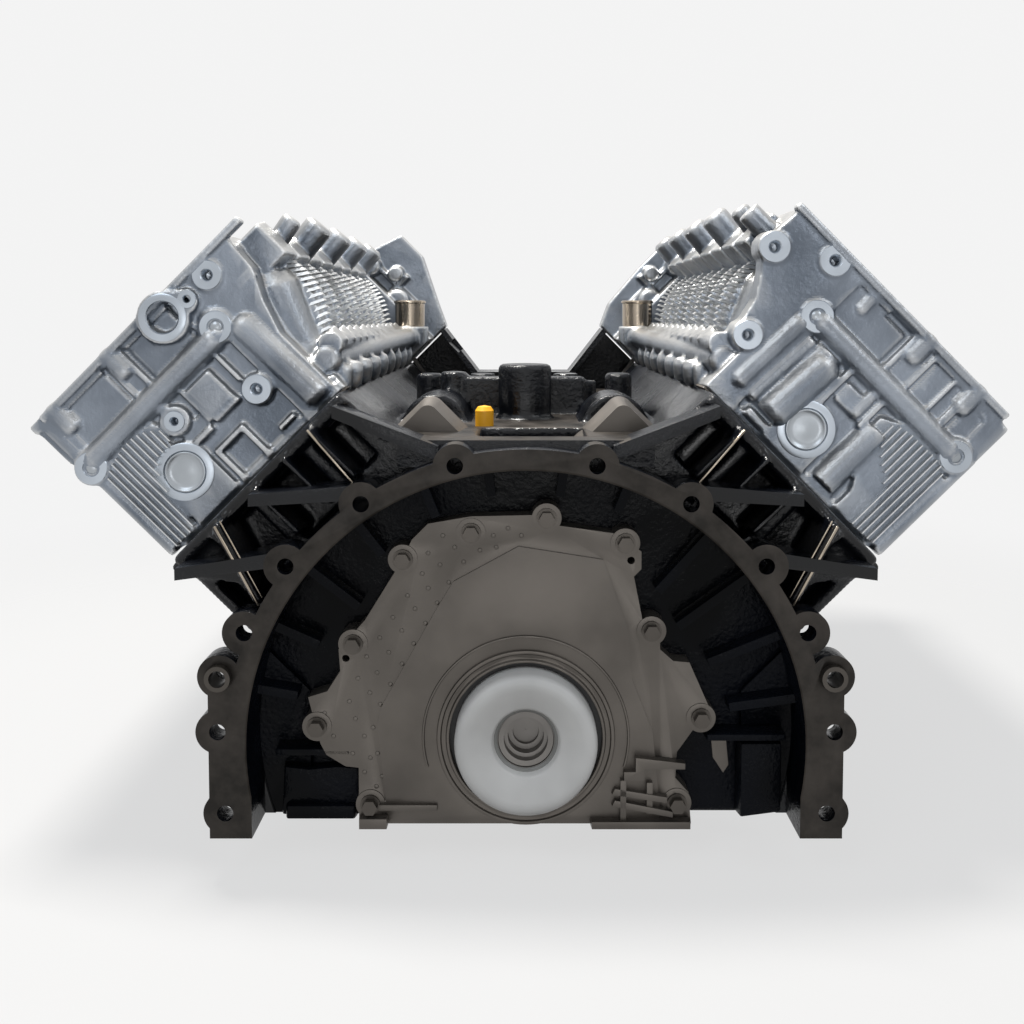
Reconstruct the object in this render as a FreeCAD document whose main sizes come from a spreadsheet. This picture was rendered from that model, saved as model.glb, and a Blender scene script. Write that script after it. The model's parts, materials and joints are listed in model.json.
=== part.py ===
"""A bare double-overhead-camshaft eight-cylinder engine, modelled as it comes apart on a bench.

The origin is the centre of the crankshaft's rear flange face.  +X is to the right when the engine is
seen from the flywheel end, +Y runs along the crankshaft towards the timing end, and +Z is up.
Inside a cylinder bank the places are given as u, the distance from the crank axis along the bores,
and t, the distance across the bores, which grows towards the outside of the vee.
"""
import FreeCAD, Part
import Sketcher
import math
import os
from FreeCAD import Placement, Rotation, Vector

doc = FreeCAD.newDocument("Engine")

# Driving dimensions: a name, a number in millimetres (angles in degrees, counts plain), a note.
ROWS = [
    ("half_vee", 45, "angle of each bank from the vertical"),
    ("bore_dia", 86, "cylinder bore"),
    ("stroke", 96, "piston stroke"),
    ("bore_pitch", 99, "distance between cylinders of one bank"),
    ("bank_offset", 22, "right bank ahead of the left bank"),
    ("deck_height", 256, "crank axis to the deck"),
    ("deck_inner", 75, "bore axis to the deck's valley edge"),
    ("deck_outer", 88, "bore axis to the deck's outer edge"),
    ("rod_length", 158, "crankpin to gudgeon pin"),
    ("crown_height", 47, "gudgeon pin to piston crown"),
    ("flange_setback", 14, "bell face behind the crank flange"),
    ("wall_setback", 22, "crank flange to the block's rear wall"),
    ("rear_main_y", 72, "crank flange to the rear main bearing's centre"),
    ("main_width", 28, "length of a main journal"),
    ("front_margin", 18, "front main bearing's centre to the block's front"),
    ("pan_drop", 61, "crank axis down to the sump rail"),
    ("rail_half", 150, "half the width over the sump rail"),
    ("skirt_wall", 12, "thickness of the crankcase skirt"),
    ("case_radius", 96, "room round the crank"),
    ("valley_height", 203, "crank axis up to the valley shelf"),
    ("journal_dia", 80, "main journal"),
    ("pin_dia", 58, "crankpin"),
    ("bearing_wall", 2.5, "bearing insert"),
    ("running_gap", 0.05, "radial clearance of a running fit"),
    ("seat_gap", 0.3, "clearance between pieces that lie close"),
    ("cap_half", 66, "half the width of a main bearing cap"),
    ("cap_depth", 90, "crank axis to the bottom of a tall cap"),
    ("cap_bolt_x", 54, "crank axis to a cap bolt"),
    ("cap_shoulder", 58, "crank axis down to a cap bolt's seat"),
    ("web_radius", 76, "counterweight"),
    ("web_gap", 1, "side clearance between web and bulkhead"),
    ("hub_dia", 86, "crankshaft's rear hub"),
    ("snout_dia", 44, "crankshaft's front end"),
    ("pilot_dia", 38, "pilot bore in the crank flange"),
    ("pilot_depth", 20, "depth of the pilot bore"),
    ("flange_bolt_circle", 66, "flywheel bolt circle"),
    ("flange_bolt_dia", 10, "flywheel bolt hole"),
    ("flange_bolts", 8, "flywheel bolts"),
    ("bell_inner", 185, "inside radius of the bell flange"),
    ("bell_outer", 199, "outside radius of the bell flange"),
    ("bell_flange", 18, "thickness of the bell flange"),
    ("bell_skin", 9, "thickness of the bell's wall"),
    ("bell_hole_dia", 10.8, "bell housing bolt hole"),
    ("bell_lobe", 14.5, "radius of the boss round a bell hole"),
    ("dowel_dia", 17, "ring dowel"),
    ("carrier_thick", 18, "rear seal carrier"),
    ("carrier_bore", 104, "seal bore in the carrier"),
    ("sleeve_dia", 96, "outside of the seal fitting sleeve"),
    ("sleeve_bore", 46, "hole in the sleeve's face"),
    ("gasket_thick", 1.6, "head gasket"),
    ("head_start", 56, "crank flange to the heads' rear face"),
    ("head_overhang", 58, "heads reach past the block's front"),
    ("rail_height", 139, "head's lower face to the cam rail"),
    ("cam_spread", 84, "distance between a bank's camshafts"),
    ("cam_height", 128, "head's lower face to the cam axes"),
    ("cam_journal", 28, "camshaft journal"),
    ("cam_shaft", 24, "camshaft between the lobes"),
    ("lobe_base", 17, "base radius of a cam lobe"),
    ("lobe_lift", 9, "lift of a cam lobe"),
    ("lobe_width", 14, "width of a cam lobe"),
    ("valve_pitch", 44, "distance between a cylinder's two like valves"),
    ("valve_spread", 36, "distance across the bore between valve heads"),
    ("well_floor", 58, "head's lower face to the valve gear floor"),
    ("head_bolt_t", 44, "bore axis to a head bolt"),
    ("rail_wall", 7, "wall of the valve gear space"),
    ("right_rail_inner", 118, "bore axis to the right head's rail on the valley side"),
    ("right_rail_outer", 79, "bore axis to the right head's outer rail"),
    ("left_rail_inner", 91, "bore axis to the left head's rail on the valley side"),
    ("left_rail_outer", 106, "bore axis to the left head's outer rail"),
    ("saddle_width", 20, "camshaft bearing"),
    ("port_face", 102, "bore axis to the exhaust port face"),
    ("stub_in", 104, "bore axis to a coolant stub on the valley side"),
    ("stub_up", 26, "head's lower face to the top of a coolant elbow"),
    ("stub_y", 464, "crank flange to a coolant stub"),
    ("stub_sunk", 12, "depth of a coolant stub in its elbow"),
    ("stub_dia", 33, "coolant stub"),
    ("chain_room", 3, "clearance round a chain in its well"),
    ("chain_pitch", 8, "timing chain"),
    ("crank_teeth", 20, "teeth on the crank sprocket"),
    ("link_teeth", 22, "teeth on the sprockets that join two camshafts"),
    ("sprocket_width", 5, "width of a sprocket"),
    ("cover_depth", 52, "depth of the timing cover"),
    ("cover_wall", 6, "wall of the timing cover"),
    ("cover_reach", 128, "bore axis to the timing cover's valley shoulder"),
    ("damper_seat", 28, "length of the damper seat on the crank snout"),
    ("snout_length", 40, "crank snout past the timing cover"),
]


class Size:
    """A number of the sheet, or a sum of such numbers, with the formula that gives it."""

    def __init__(self, value, formula):
        self.value = float(value)
        self.formula = formula

    def __add__(self, other):
        other = as_size(other)
        return Size(self.value + other.value, f"({self.formula} + {other.formula})")

    def __sub__(self, other):
        other = as_size(other)
        return Size(self.value - other.value, f"({self.formula} - {other.formula})")

    def __mul__(self, other):
        other = as_size(other)
        return Size(self.value * other.value, f"({self.formula} * {other.formula})")

    def __truediv__(self, other):
        other = as_size(other)
        return Size(self.value / other.value, f"({self.formula} / {other.formula})")

    def __neg__(self):
        return Size(-self.value, f"(0 - {self.formula})")

    __radd__ = __add__
    __rmul__ = __mul__

    def __rsub__(self, other):
        return as_size(other) - self


def as_size(number):
    if isinstance(number, Size):
        return number
    return Size(number, f"({float(number)!r})")


def sin_of(angle):
    return Size(math.sin(math.radians(angle.value)), f"sin({angle.formula} * 1deg)")


def cos_of(angle):
    return Size(math.cos(math.radians(angle.value)), f"cos({angle.formula} * 1deg)")


sheet = doc.addObject("Spreadsheet::Sheet", "Sizes")
size = {}
for line, (alias, number, note) in enumerate(ROWS, start=1):
    sheet.set(f"A{line}", note)
    sheet.set(f"B{line}", str(number))
    sheet.setAlias(f"B{line}", alias)
    size[alias] = Size(number, f"Sizes.{alias}")
doc.recompute()

SIN = sin_of(size["half_vee"])
COS = cos_of(size["half_vee"])
X_AXIS = Vector(1, 0, 0)
Y_AXIS = Vector(0, 1, 0)
Z_AXIS = Vector(0, 0, 1)
TURN_TO = {"X": Rotation(Y_AXIS, 90), "Y": Rotation(X_AXIS, -90), "Z": Rotation()}
RIGHT = 1
LEFT = -1
SIDE_NAME = {RIGHT: "right", LEFT: "left"}


def bind(piece, name, number):
    piece.setExpression(name, as_size(number).formula)


def place(piece, x, y, z, rotation=Rotation()):
    """Puts a piece at x, y, z with each coordinate bound to the sheet."""
    piece.Placement = Placement(Vector(), rotation)
    for axis, number in (("x", x), ("y", y), ("z", z)):
        bind(piece, f"Placement.Base.{axis}", number)
    return piece


def box(x, y, z, dx, dy, dz):
    piece = doc.addObject("Part::Box", "box")
    bind(piece, "Length", dx)
    bind(piece, "Width", dy)
    bind(piece, "Height", dz)
    return place(piece, x, y, z)


def bar(axis, radius, length, x, y, z):
    """A round bar that starts at x, y, z and runs along an axis."""
    piece = doc.addObject("Part::Cylinder", "bar")
    bind(piece, "Radius", radius)
    bind(piece, "Height", length)
    return place(piece, x, y, z, TURN_TO[axis])


def hexagon(axis, radius, length, x, y, z):
    piece = doc.addObject("Part::Prism", "hexagon")
    piece.Polygon = 6
    bind(piece, "Circumradius", radius)
    bind(piece, "Height", length)
    return place(piece, x, y, z, TURN_TO[axis])


def join(pieces, label=None):
    piece = doc.addObject("Part::MultiFuse", "join")
    piece.Shapes = pieces
    piece.Refine = False
    if label:
        piece.Label = label
    return piece


def cut(base, tools, label=None):
    piece = doc.addObject("Part::Cut", "cut")
    piece.Base = base
    piece.Tool = tools[0] if len(tools) == 1 else join(tools)
    piece.Refine = False
    if label:
        piece.Label = label
    return piece


def common(first, second, label):
    """What two pieces share."""
    piece = doc.addObject("Part::Common", "common")
    piece.Base = first
    piece.Tool = second
    piece.Refine = False
    piece.Label = label
    return piece


def tilt(piece, side):
    """Leans a piece that was made upright into the bank on one side."""
    lean = Vector(0, side, 0)
    piece.Placement = Placement(Vector(), Rotation(lean, size["half_vee"].value))
    bind(piece, "Placement.Rotation.Angle", size["half_vee"])
    return piece


def bank_xz(side, u, t):
    """The x and z of the point u, t of a bank."""
    return (u * SIN + t * COS) * side, u * COS - t * SIN


def origin_plane(body, role):
    return [item for item in body.Origin.OriginFeatures if item.Role == role][0]


def arc_centre(start, end, radius):
    """Centre of the arc that turns left from start to end for a positive radius."""
    middle = (start + end) * 0.5
    chord = end - start
    half = chord.Length / 2
    reach = math.sqrt(max(radius * radius - half * half, 0.0))
    normal = Vector(-chord.y, chord.x, 0).normalize()
    return middle + normal * (reach if radius > 0 else -reach)


def draw(sketch, points):
    """Draws a closed outline; a point is (x, z), or (x, z, radius) where an arc leads to it.

    An arc with a positive radius turns left on its way to its point."""
    flat = [Vector(as_size(p[0]).value, as_size(p[1]).value, 0) for p in points]
    count = len(points)
    for index in range(count):
        start = flat[index - 1]
        end = flat[index]
        if len(points[index]) == 2:
            sketch.addGeometry(Part.LineSegment(start, end))
            continue
        radius = as_size(points[index][2]).value
        centre = arc_centre(start, end, radius)
        circle = Part.Circle(centre, Z_AXIS, abs(radius))
        first = math.atan2(start.y - centre.y, start.x - centre.x)
        last = math.atan2(end.y - centre.y, end.x - centre.x)
        if radius < 0:
            first, last = last, first
        sketch.addGeometry(Part.ArcOfCircle(circle, first, last))
    for index in range(count):
        turned_back = len(points[index]) == 3 and as_size(points[index][2]).value < 0
        following = (index + 1) % count
        next_back = len(points[following]) == 3 and as_size(points[following][2]).value < 0
        end_of = 1 if turned_back else 2
        start_of = 2 if next_back else 1
        sketch.addConstraint(Sketcher.Constraint("Coincident", index, end_of, following, start_of))
        for kind, number in (("DistanceX", points[index][0]), ("DistanceY", points[index][1])):
            number = as_size(number)
            row = sketch.addConstraint(Sketcher.Constraint(kind, index, end_of, number.value))
            sketch.setExpression(f"Constraints[{row}]", number.formula)
        if len(points[index]) == 3:
            radius = as_size(points[index][2])
            radius = -radius if radius.value < 0 else radius
            row = sketch.addConstraint(Sketcher.Constraint("Radius", index, radius.value))
            sketch.setExpression(f"Constraints[{row}]", radius.formula)


def slab(points, y, length, label=None):
    """An outline in the XZ plane, padded from y towards the timing end."""
    body = doc.addObject("PartDesign::Body", "slab")
    sketch = body.newObject("Sketcher::SketchObject", "outline")
    sketch.AttachmentSupport = [(origin_plane(body, "XZ_Plane"), "")]
    sketch.MapMode = "FlatFace"
    bind(sketch, "AttachmentOffset.Base.z", -as_size(y))
    draw(sketch, points)
    pad = body.newObject("PartDesign::Pad", "pad")
    pad.Profile = sketch
    pad.Reversed = True
    bind(pad, "Length", length)
    if label:
        body.Label = label
    return body


def turned(points, axis, x, y, z, label=None):
    """A lathe piece: an outline of (radius, height) points turned about its own axis."""
    body = doc.addObject("PartDesign::Body", "turned")
    sketch = body.newObject("Sketcher::SketchObject", "profile")
    sketch.AttachmentSupport = [(origin_plane(body, "XZ_Plane"), "")]
    sketch.MapMode = "FlatFace"
    draw(sketch, points)
    spin = body.newObject("PartDesign::Revolution", "spin")
    spin.Profile = sketch
    spin.ReferenceAxis = (sketch, ["V_Axis"])
    spin.Angle = 360
    if label:
        body.Label = label
    return place(body, x, y, z, TURN_TO[axis])


def copies(label, master, places):
    """One node that holds a copy of the master at each place."""
    doc.recompute()
    solids = []
    for spot in places:
        piece = master.Shape.copy()
        piece.Placement = spot.multiply(piece.Placement)
        solids.append(piece)
    group = doc.addObject("Part::Feature", label)
    group.Shape = Part.makeCompound(solids)
    group.Label = label
    return group


def mirrored(points):
    """Right-hand half of an outline, drawn upwards, made whole about the middle plane."""
    return [(-as_size(x), z) for x, z in reversed(points)] + points


S = size
DECK = S["deck_height"]
HEAD_SEAT = DECK + S["gasket_thick"]
RAIL = HEAD_SEAT + S["rail_height"]
CAM_U = HEAD_SEAT + S["cam_height"]
CAM_T = S["cam_spread"] / 2
BELL_FACE = -S["flange_setback"]
WALL = S["wall_setback"]
FRONT_MAIN = S["rear_main_y"] + S["bore_pitch"] * 4
BLOCK_FRONT = FRONT_MAIN + S["front_margin"]
HEAD_FRONT = BLOCK_FRONT + S["head_overhang"]
HEAD_LENGTH = HEAD_FRONT - S["head_start"]
TOOTH_TIP = 1.2
CHAIN_BAND = 5
CHAIN_LIFT = 0.6
BULKHEAD = S["main_width"] - S["web_gap"] * 2
SADDLE_RADIUS = S["journal_dia"] / 2 + S["bearing_wall"] + S["running_gap"] * 2
CRANK_THROW = S["stroke"] / 2
PIN_WIDTH = S["bank_offset"] * 2 + 2
BELL_BOLTS = [(46.5, 188), (108, 163), (157.7, 121.8), (185.5, 77.5), (204, 11), (199.6, -44)]
BELL_DOWEL = (202.3, 48.2)
DOWEL_BORE = 5.6
CLEAR = 300
RIB_STARTS = [(8, 140), (22, 134), (36, 128), (48, 134), (68, 166), (82, 166), (98, 166), (112, 162),
              (128, 158), (142, 144), (156, 154), (170, 158)]
CARRIER_BOLTS = [(14, 150), (-37, 140), (-83, 122), (-117, 64), (-142, 7), (-106, -47),
                 (67, 133), (85, 73), (119, 13), (103, -46)]


def main_y(index):
    return S["rear_main_y"] + S["bore_pitch"] * index


def bore_y(side, index):
    middle = S["rear_main_y"] + S["bore_pitch"] * (index + 0.5)
    return middle + S["bank_offset"] / 2 * side


def across(side, t0, t1):
    """Start and width along local x of a stretch from t0 to t1 of a bank."""
    t0 = as_size(t0)
    t1 = as_size(t1)
    return (t0 if side == RIGHT else -t1), t1 - t0


def bank_box(side, t0, t1, y0, y1, u0, u1):
    x, dx = across(side, t0, t1)
    return box(x, y0, u0, dx, as_size(y1) - y0, as_size(u1) - u0)


def bank_points(side, points):
    """An outline of (t, u) points in the bank's upright frame."""
    flat = [(as_size(p[0]) * side,) + tuple(p[1:]) for p in points]
    return flat


# Engine block.

def block_body():
    """The vee with its deck faces, crankcase skirt and valley shelf, one cross-section pulled along the crank."""
    side_z = (S["rail_half"] - S["deck_outer"] * COS) / SIN * COS - S["deck_outer"] * SIN
    outer = bank_xz(RIGHT, DECK, S["deck_outer"])
    inner = bank_xz(RIGHT, DECK, -S["deck_inner"])
    shelf_x = S["valley_height"] / COS * SIN - S["deck_inner"] / COS
    half = [
        (S["rail_half"], -S["pan_drop"]),
        (S["rail_half"], side_z),
        outer,
        inner,
        (shelf_x, S["valley_height"]),
    ]
    return slab(mirrored(half), WALL, BLOCK_FRONT - WALL)


def bell():
    """Half-round clutch housing flange with its bolt bosses, its wall and the rear wall's ribs."""
    depth = S["flange_setback"] + S["wall_setback"]
    pieces = [
        bar("Y", S["bell_outer"], S["bell_flange"], 0, BELL_FACE, 0),
        bar("Y", S["bell_inner"] + S["bell_skin"], depth + 14, 0, BELL_FACE, 0),
    ]
    leg_outer = S["bell_outer"] + 11
    for side in (RIGHT, LEFT):
        x, dx = across(side, S["bell_inner"] - 4, leg_outer)
        pieces.append(box(x, BELL_FACE, -S["pan_drop"], dx, S["bell_flange"], S["pan_drop"] + 52))
        x, dx = across(side, S["bell_inner"] - 4, S["bell_inner"] + S["bell_skin"])
        pieces.append(box(x, BELL_FACE, -S["pan_drop"], dx, depth + 14, S["pan_drop"] + 2))
        for px, pz in BELL_BOLTS + [BELL_DOWEL]:
            pieces.append(bar("Y", S["bell_lobe"], S["bell_flange"], px * side, BELL_FACE, pz))
    whole = join(pieces)
    well = S["bell_inner"]
    cuts = [
        bar("Y", well, depth + 1, 0, BELL_FACE - 1, 0),
        box(-(well - 3), BELL_FACE - 1, -S["pan_drop"] - 200, (well - 3) * 2, depth, S["pan_drop"] + 200),
        box(-CLEAR, BELL_FACE - 1, -S["pan_drop"] - CLEAR, CLEAR * 2, depth + 30, CLEAR),
    ]
    hollow = cut(whole, cuts)
    ribs = []
    for angle, start in RIB_STARTS:
        rib = box(0, 0, 0, S["bell_inner"] + 4 - start, 16, 6)
        lean = math.radians(angle)
        rib.Placement = Placement(Vector(), Rotation(Y_AXIS, -angle))
        bind(rib, "Placement.Base.x", as_size(start * math.cos(lean) + 3 * math.sin(lean)))
        bind(rib, "Placement.Base.z", as_size(start * math.sin(lean) - 3 * math.cos(lean)))
        bind(rib, "Placement.Base.y", WALL - 15)
        ribs.append(rib)
    lip = box(-86, BELL_FACE + 16, S["valley_height"] - 18, 172, 22, 18)
    return [hollow, lip] + ribs


def gussets():
    """Webs that carry the bell flange from the banks' corners; the inner pair stops short of the valley shelf."""
    pieces = []
    start = BELL_FACE + 8
    corner_in = bank_xz(RIGHT, DECK - 6, -S["deck_inner"] + 6)
    corner_mid = bank_xz(RIGHT, DECK - 8, 12)
    corner_out = bank_xz(RIGHT, DECK - 8, S["deck_outer"] - 6)
    webs = [(corner_in, (58, 196), WALL), (corner_mid, (112, 170), S["head_start"]),
            (corner_out, (160, 126), S["head_start"])]
    for side in (RIGHT, LEFT):
        for (x1, z1), (x2, z2), end in webs:
            outline = [(x1 * side, z1 - 7), (x1 * side, z1 + 1), (as_size(x2 * side), as_size(z2 + 4)),
                       (as_size(x2 * side), as_size(z2 - 6))]
            pieces.append(slab(outline, start, end - start))
    return pieces


def make_clutch_flange():
    """The clutch housing's flange is one casting with the block; its node begins at the block's rear wall."""
    cuts = [block_body()]
    for side in (RIGHT, LEFT):
        for px, pz in BELL_BOLTS:
            cuts.append(bar("Y", S["bell_hole_dia"] / 2, 40, px * side, BELL_FACE - 1, pz))
        x = BELL_DOWEL[0] * side
        cuts.append(bar("Y", S["dowel_dia"] / 2, 13, x, BELL_FACE - 1, BELL_DOWEL[1]))
        cuts.append(bar("Y", DOWEL_BORE, 40, x, BELL_FACE - 1, BELL_DOWEL[1]))
    return cut(join(bell() + gussets()), cuts, "clutch_housing_flange")


def bank_recesses(side):
    """Cored pockets in the rear end of a bank, between its upright ribs."""
    pieces = []
    for t0, t1, u0, u1 in ((-62, -36, 206, 244), (-26, 14, 200, 244), (24, 50, 196, 244), (60, 80, 192, 236)):
        pieces.append(bank_box(side, t0, t1, WALL - 1, WALL + 22, u0, u1))
    return tilt(join(pieces), side)


def bank_cuts(side):
    """Bores and head bolt holes of one bank."""
    pieces = []
    for index in range(4):
        pieces.append(bar("Z", S["bore_dia"] / 2, DECK, 0, bore_y(side, index), 76))
    for x, y in head_bolt_spots(side):
        pieces.append(bar("Z", 6.1, 80, x, y, DECK - 60))
    return tilt(join(pieces), side)


def head_bolt_spots(side):
    return [(S["head_bolt_t"] * offset, main_y(index)) for index in range(5) for offset in (-1, 1)]


# The sensor's cap stands in a shallow round seat in the valley shelf.
CAP_SPOT = (-31, 97)
CAP_RADIUS = 7
CAP_SUNK = 3
CAP_ROOM = 0.4


def valley_bosses():
    """Standpipe, side humps and screw bosses on the valley shelf."""
    top = S["valley_height"]
    pieces = [
        bar("Z", 21.5, 47, 0, 150, top - 3),
        box(-50, 175, top - 2, 100, 16, 34),
    ]
    for x, y, radius, height in ((-60, 185, 11, 38), (52, 190, 9, 30), (-84, 230, 12, 34), (84, 235, 12, 34),
                                 (-40, 300, 12, 30), (40, 300, 12, 30), (0, 400, 14, 26)):
        pieces.append(bar("Z", radius, height, x, y, top - 2))
    for side in (RIGHT, LEFT):
        pieces.append(bar("Y", 26, 60, 70 * side, 112, top - 4))
    return pieces


def make_block():
    """One casting in three nodes: the vee above the crank axis and a skirt on each side below it."""
    solid = join([block_body()] + valley_bosses())
    cuts = []
    for index in range(4):
        start = main_y(index) + BULKHEAD / 2
        length = S["bore_pitch"] - BULKHEAD
        half = S["rail_half"] - S["skirt_wall"]
        cuts.append(bar("Y", S["case_radius"], length, 0, start, 0))
        cuts.append(box(-half, start, -S["pan_drop"] - 5, half * 2, length, S["pan_drop"] + 5))
    for index in range(5):
        start = main_y(index) - BULKHEAD / 2 - 1
        half = S["cap_half"] + S["running_gap"]
        cuts.append(box(-half, start, -S["pan_drop"] - 5, half * 2, BULKHEAD + 2, S["pan_drop"] + 5))
        for x in (-S["cap_bolt_x"], S["cap_bolt_x"]):
            cuts.append(bar("Z", 6.1, 62, x, main_y(index), -1))
    cuts.append(bar("Y", SADDLE_RADIUS, BLOCK_FRONT, 0, WALL - 1, 0))
    hub_room = S["rear_main_y"] - BULKHEAD / 2 - WALL
    cuts.append(bar("Y", S["hub_dia"] / 2 + 3, hub_room + 1, 0, WALL - 1, 0))
    for x, z in CARRIER_BOLTS:
        cuts.append(bar("Y", 3.1, 20, x, WALL - 1, z))
    for side in (RIGHT, LEFT):
        cuts.append(bank_cuts(side))
        cuts.append(bank_recesses(side))
    cuts.append(box(-32, WALL + 6, S["valley_height"] - 30, 74, 54, 40))
    cap_x, cap_y = CAP_SPOT
    cuts.append(bar("Z", CAP_RADIUS + CAP_ROOM, CAP_SUNK + 1, cap_x, cap_y, S["valley_height"] - CAP_SUNK))
    casting = cut(solid, cuts)
    depth = S["pan_drop"] + 1
    below = box(-CLEAR, 0, -depth, CLEAR * 2, BLOCK_FRONT + 1, depth)
    cut(casting, [below], "engine_block")
    for side in (RIGHT, LEFT):
        x, dx = across(side, 0, CLEAR)
        half = box(x, 0, -depth, dx, BLOCK_FRONT + 1, depth)
        common(casting, half, f"crankcase_skirt_{SIDE_NAME[side]}")


make_block()
make_clutch_flange()


# Crankshaft.

REST_ANGLE = 45
PIN_ANGLES = [REST_ANGLE, REST_ANGLE + 90, REST_ANGLE + 270, REST_ANGLE + 180]


def crank_web(pin_angle, y, thickness):
    """One cheek: a fan-shaped counterweight opposite the pin, and an arm that carries the pin."""
    radius = S["web_radius"]
    arm = S["pin_dia"] / 2 + 7
    outline = [
        (-arm, CRANK_THROW, arm * 1.02),
        (-arm * 0.95, as_size(6)),
        (-radius * 0.93969, radius * 0.34202 * -1),
        (radius * 0.93969, radius * 0.34202 * -1, radius),
        (arm * 0.95, as_size(6)),
        (arm, CRANK_THROW),
    ]
    web = slab(outline, y, thickness)
    web.Placement = Placement(Vector(), Rotation(Y_AXIS, pin_angle))
    return web


def make_crankshaft():
    journal = S["journal_dia"] / 2
    nose = S["cover_depth"] + S["snout_length"] + S["front_margin"]
    pieces = [
        bar("Y", S["hub_dia"] / 2, S["rear_main_y"] - S["main_width"] / 2, 0, 0, 0),
        bar("Y", S["snout_dia"] / 2, nose - S["damper_seat"], 0, FRONT_MAIN, 0),
        bar("Y", S["snout_dia"] / 2 - 1, nose, 0, FRONT_MAIN, 0),
    ]
    cheek = (S["bore_pitch"] - S["main_width"] - PIN_WIDTH) / 2
    for index in range(5):
        pieces.append(bar("Y", journal, S["main_width"], 0, main_y(index) - S["main_width"] / 2, 0))
    for index, angle in enumerate(PIN_ANGLES):
        pin_start = main_y(index) + S["main_width"] / 2 + cheek
        lean = math.radians(angle)
        x = CRANK_THROW * math.sin(lean)
        z = CRANK_THROW * math.cos(lean)
        pieces.append(bar("Y", S["pin_dia"] / 2, PIN_WIDTH, x, pin_start, z))
        pieces.append(crank_web(angle, pin_start - cheek, cheek))
        pieces.append(crank_web(angle, pin_start + PIN_WIDTH, cheek))
    shaft = join(pieces)
    holes = [bar("Y", S["pilot_dia"] / 2, S["pilot_depth"] + 1, 0, -1, 0)]
    count = int(S["flange_bolts"].value)
    for index in range(count):
        turn = math.tau * (index + 0.5) / count
        x = S["flange_bolt_circle"] / 2 * math.cos(turn)
        z = S["flange_bolt_circle"] / 2 * math.sin(turn)
        holes.append(bar("Y", S["flange_bolt_dia"] / 2, 23, x, -1, z))
    return cut(shaft, holes, "crankshaft")


make_crankshaft()


# Main bearings.

def make_main_caps():
    """Tall caps in the middle, and two that end level with the sump rail."""
    half = S["cap_half"] - S["running_gap"]
    drop = S["cap_shoulder"]
    tall = [(half, 0), (half, -drop + 14), (half - 4, -drop), (S["cap_bolt_x"] - 12, -drop),
            (S["cap_bolt_x"] - 14, -S["cap_depth"])]
    short = [(half, 0), (half, -S["pan_drop"])]
    solids = []
    for index in range(5):
        shape = short if index in (0, 4) else tall
        outline = mirrored(list(reversed(shape)))
        start = main_y(index) - BULKHEAD / 2
        cap = slab(outline, start, BULKHEAD)
        tools = [bar("Y", SADDLE_RADIUS, BULKHEAD + 2, 0, start - 1, 0)]
        for x in (-S["cap_bolt_x"], S["cap_bolt_x"]):
            tools.append(bar("Z", 6.1, 200, x, main_y(index), -120))
            if shape is short:
                tools.append(bar("Z", 11.5, 30, x, main_y(index), -drop - 18))
        solids.append(cut(cap, tools))
    return solids


def gather(label, pieces):
    """One node from several separate solids."""
    group = doc.addObject("Part::Compound", label)
    group.Links = pieces
    group.Label = label
    return group


gather("main_bearing_caps", make_main_caps())


def make_cap_bolts():
    shank = bar("Z", 6, 110, 0, 0, 0)
    head = hexagon("Z", 9.5, 10, 0, 0, -10)
    bolt = join([shank, head])
    spots = []
    for index in range(5):
        for x in (-S["cap_bolt_x"].value, S["cap_bolt_x"].value):
            spots.append(Placement(Vector(x, main_y(index).value, -S["cap_shoulder"].value), Rotation()))
    return copies("main_cap_bolts", bolt, spots)


def make_main_shells():
    outer = SADDLE_RADIUS - S["running_gap"]
    width = BULKHEAD - 2
    ring = bar("Y", outer, width, 0, -width / 2, 0)
    hole = bar("Y", S["journal_dia"] / 2 + S["running_gap"], width + 2, 0, -width / 2 - 1, 0)
    lower = box(-outer - 1, -width, -outer - 1, outer * 2 + 2, width * 2, outer + 1.02)
    half = cut(ring, [hole, lower])
    spots = []
    for index in range(5):
        for turn in (0, 180):
            spots.append(Placement(Vector(0, main_y(index).value, 0), Rotation(Y_AXIS, turn)))
    return copies("main_bearing_shells", half, spots)


make_cap_bolts()
make_main_shells()


# Rear seal carrier with its seal, fitting sleeve and bolts.

def make_carrier():
    """Flat cover with a boss at each bolt and a raised middle panel."""
    outline = [(-114, -61), (-114, -22), (-123, -21), (-136, -13), (-140, -5), (-148, 27), (-135, 31),
               (-126, 45), (-127, 60), (-109, 80), (-83, 122), (-77, 135), (-66, 146), (-37, 151), (9, 152),
               (20, 145), (63, 139), (78, 127), (78, 115), (73, 110), (79, 80), (91, 73), (91, 60), (100, 52),
               (111, 51), (126, 17), (124, 8), (115, 6), (103, -11), (102, -29), (111, -39), (113, -61)]
    panel = [(-94, -57), (-101, 10), (-97, 23), (-60, 89), (-49, 107), (-5, 131), (52, 122), (69, 75),
             (72, 40), (86, 4), (92, -57)]
    thick = S["carrier_thick"]
    start = WALL - thick
    pieces = [slab(list(reversed(outline)), start + 2, thick - 2), slab(list(reversed(panel)), start, thick)]
    for x, z in CARRIER_BOLTS:
        pieces.append(bar("Y", 10, thick - 1, x, start + 1, z))
    plate = join(pieces)
    cuts = [bar("Y", S["carrier_bore"] / 2, thick + 2, 0, start - 1, 0)]
    for x, z in CARRIER_BOLTS:
        cuts.append(bar("Y", 3.4, thick + 2, x, start - 1, z))
    for x, z in ((-122, 54), (71, 121)):
        cuts.append(bar("Y", 2.6, thick + 2, x, start - 1, z))
    cuts.append(box(-200, start - 1, -S["pan_drop"] - 50, 400, thick + 2, 50))
    return cut(plate, cuts, "rear_seal_carrier")


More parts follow.
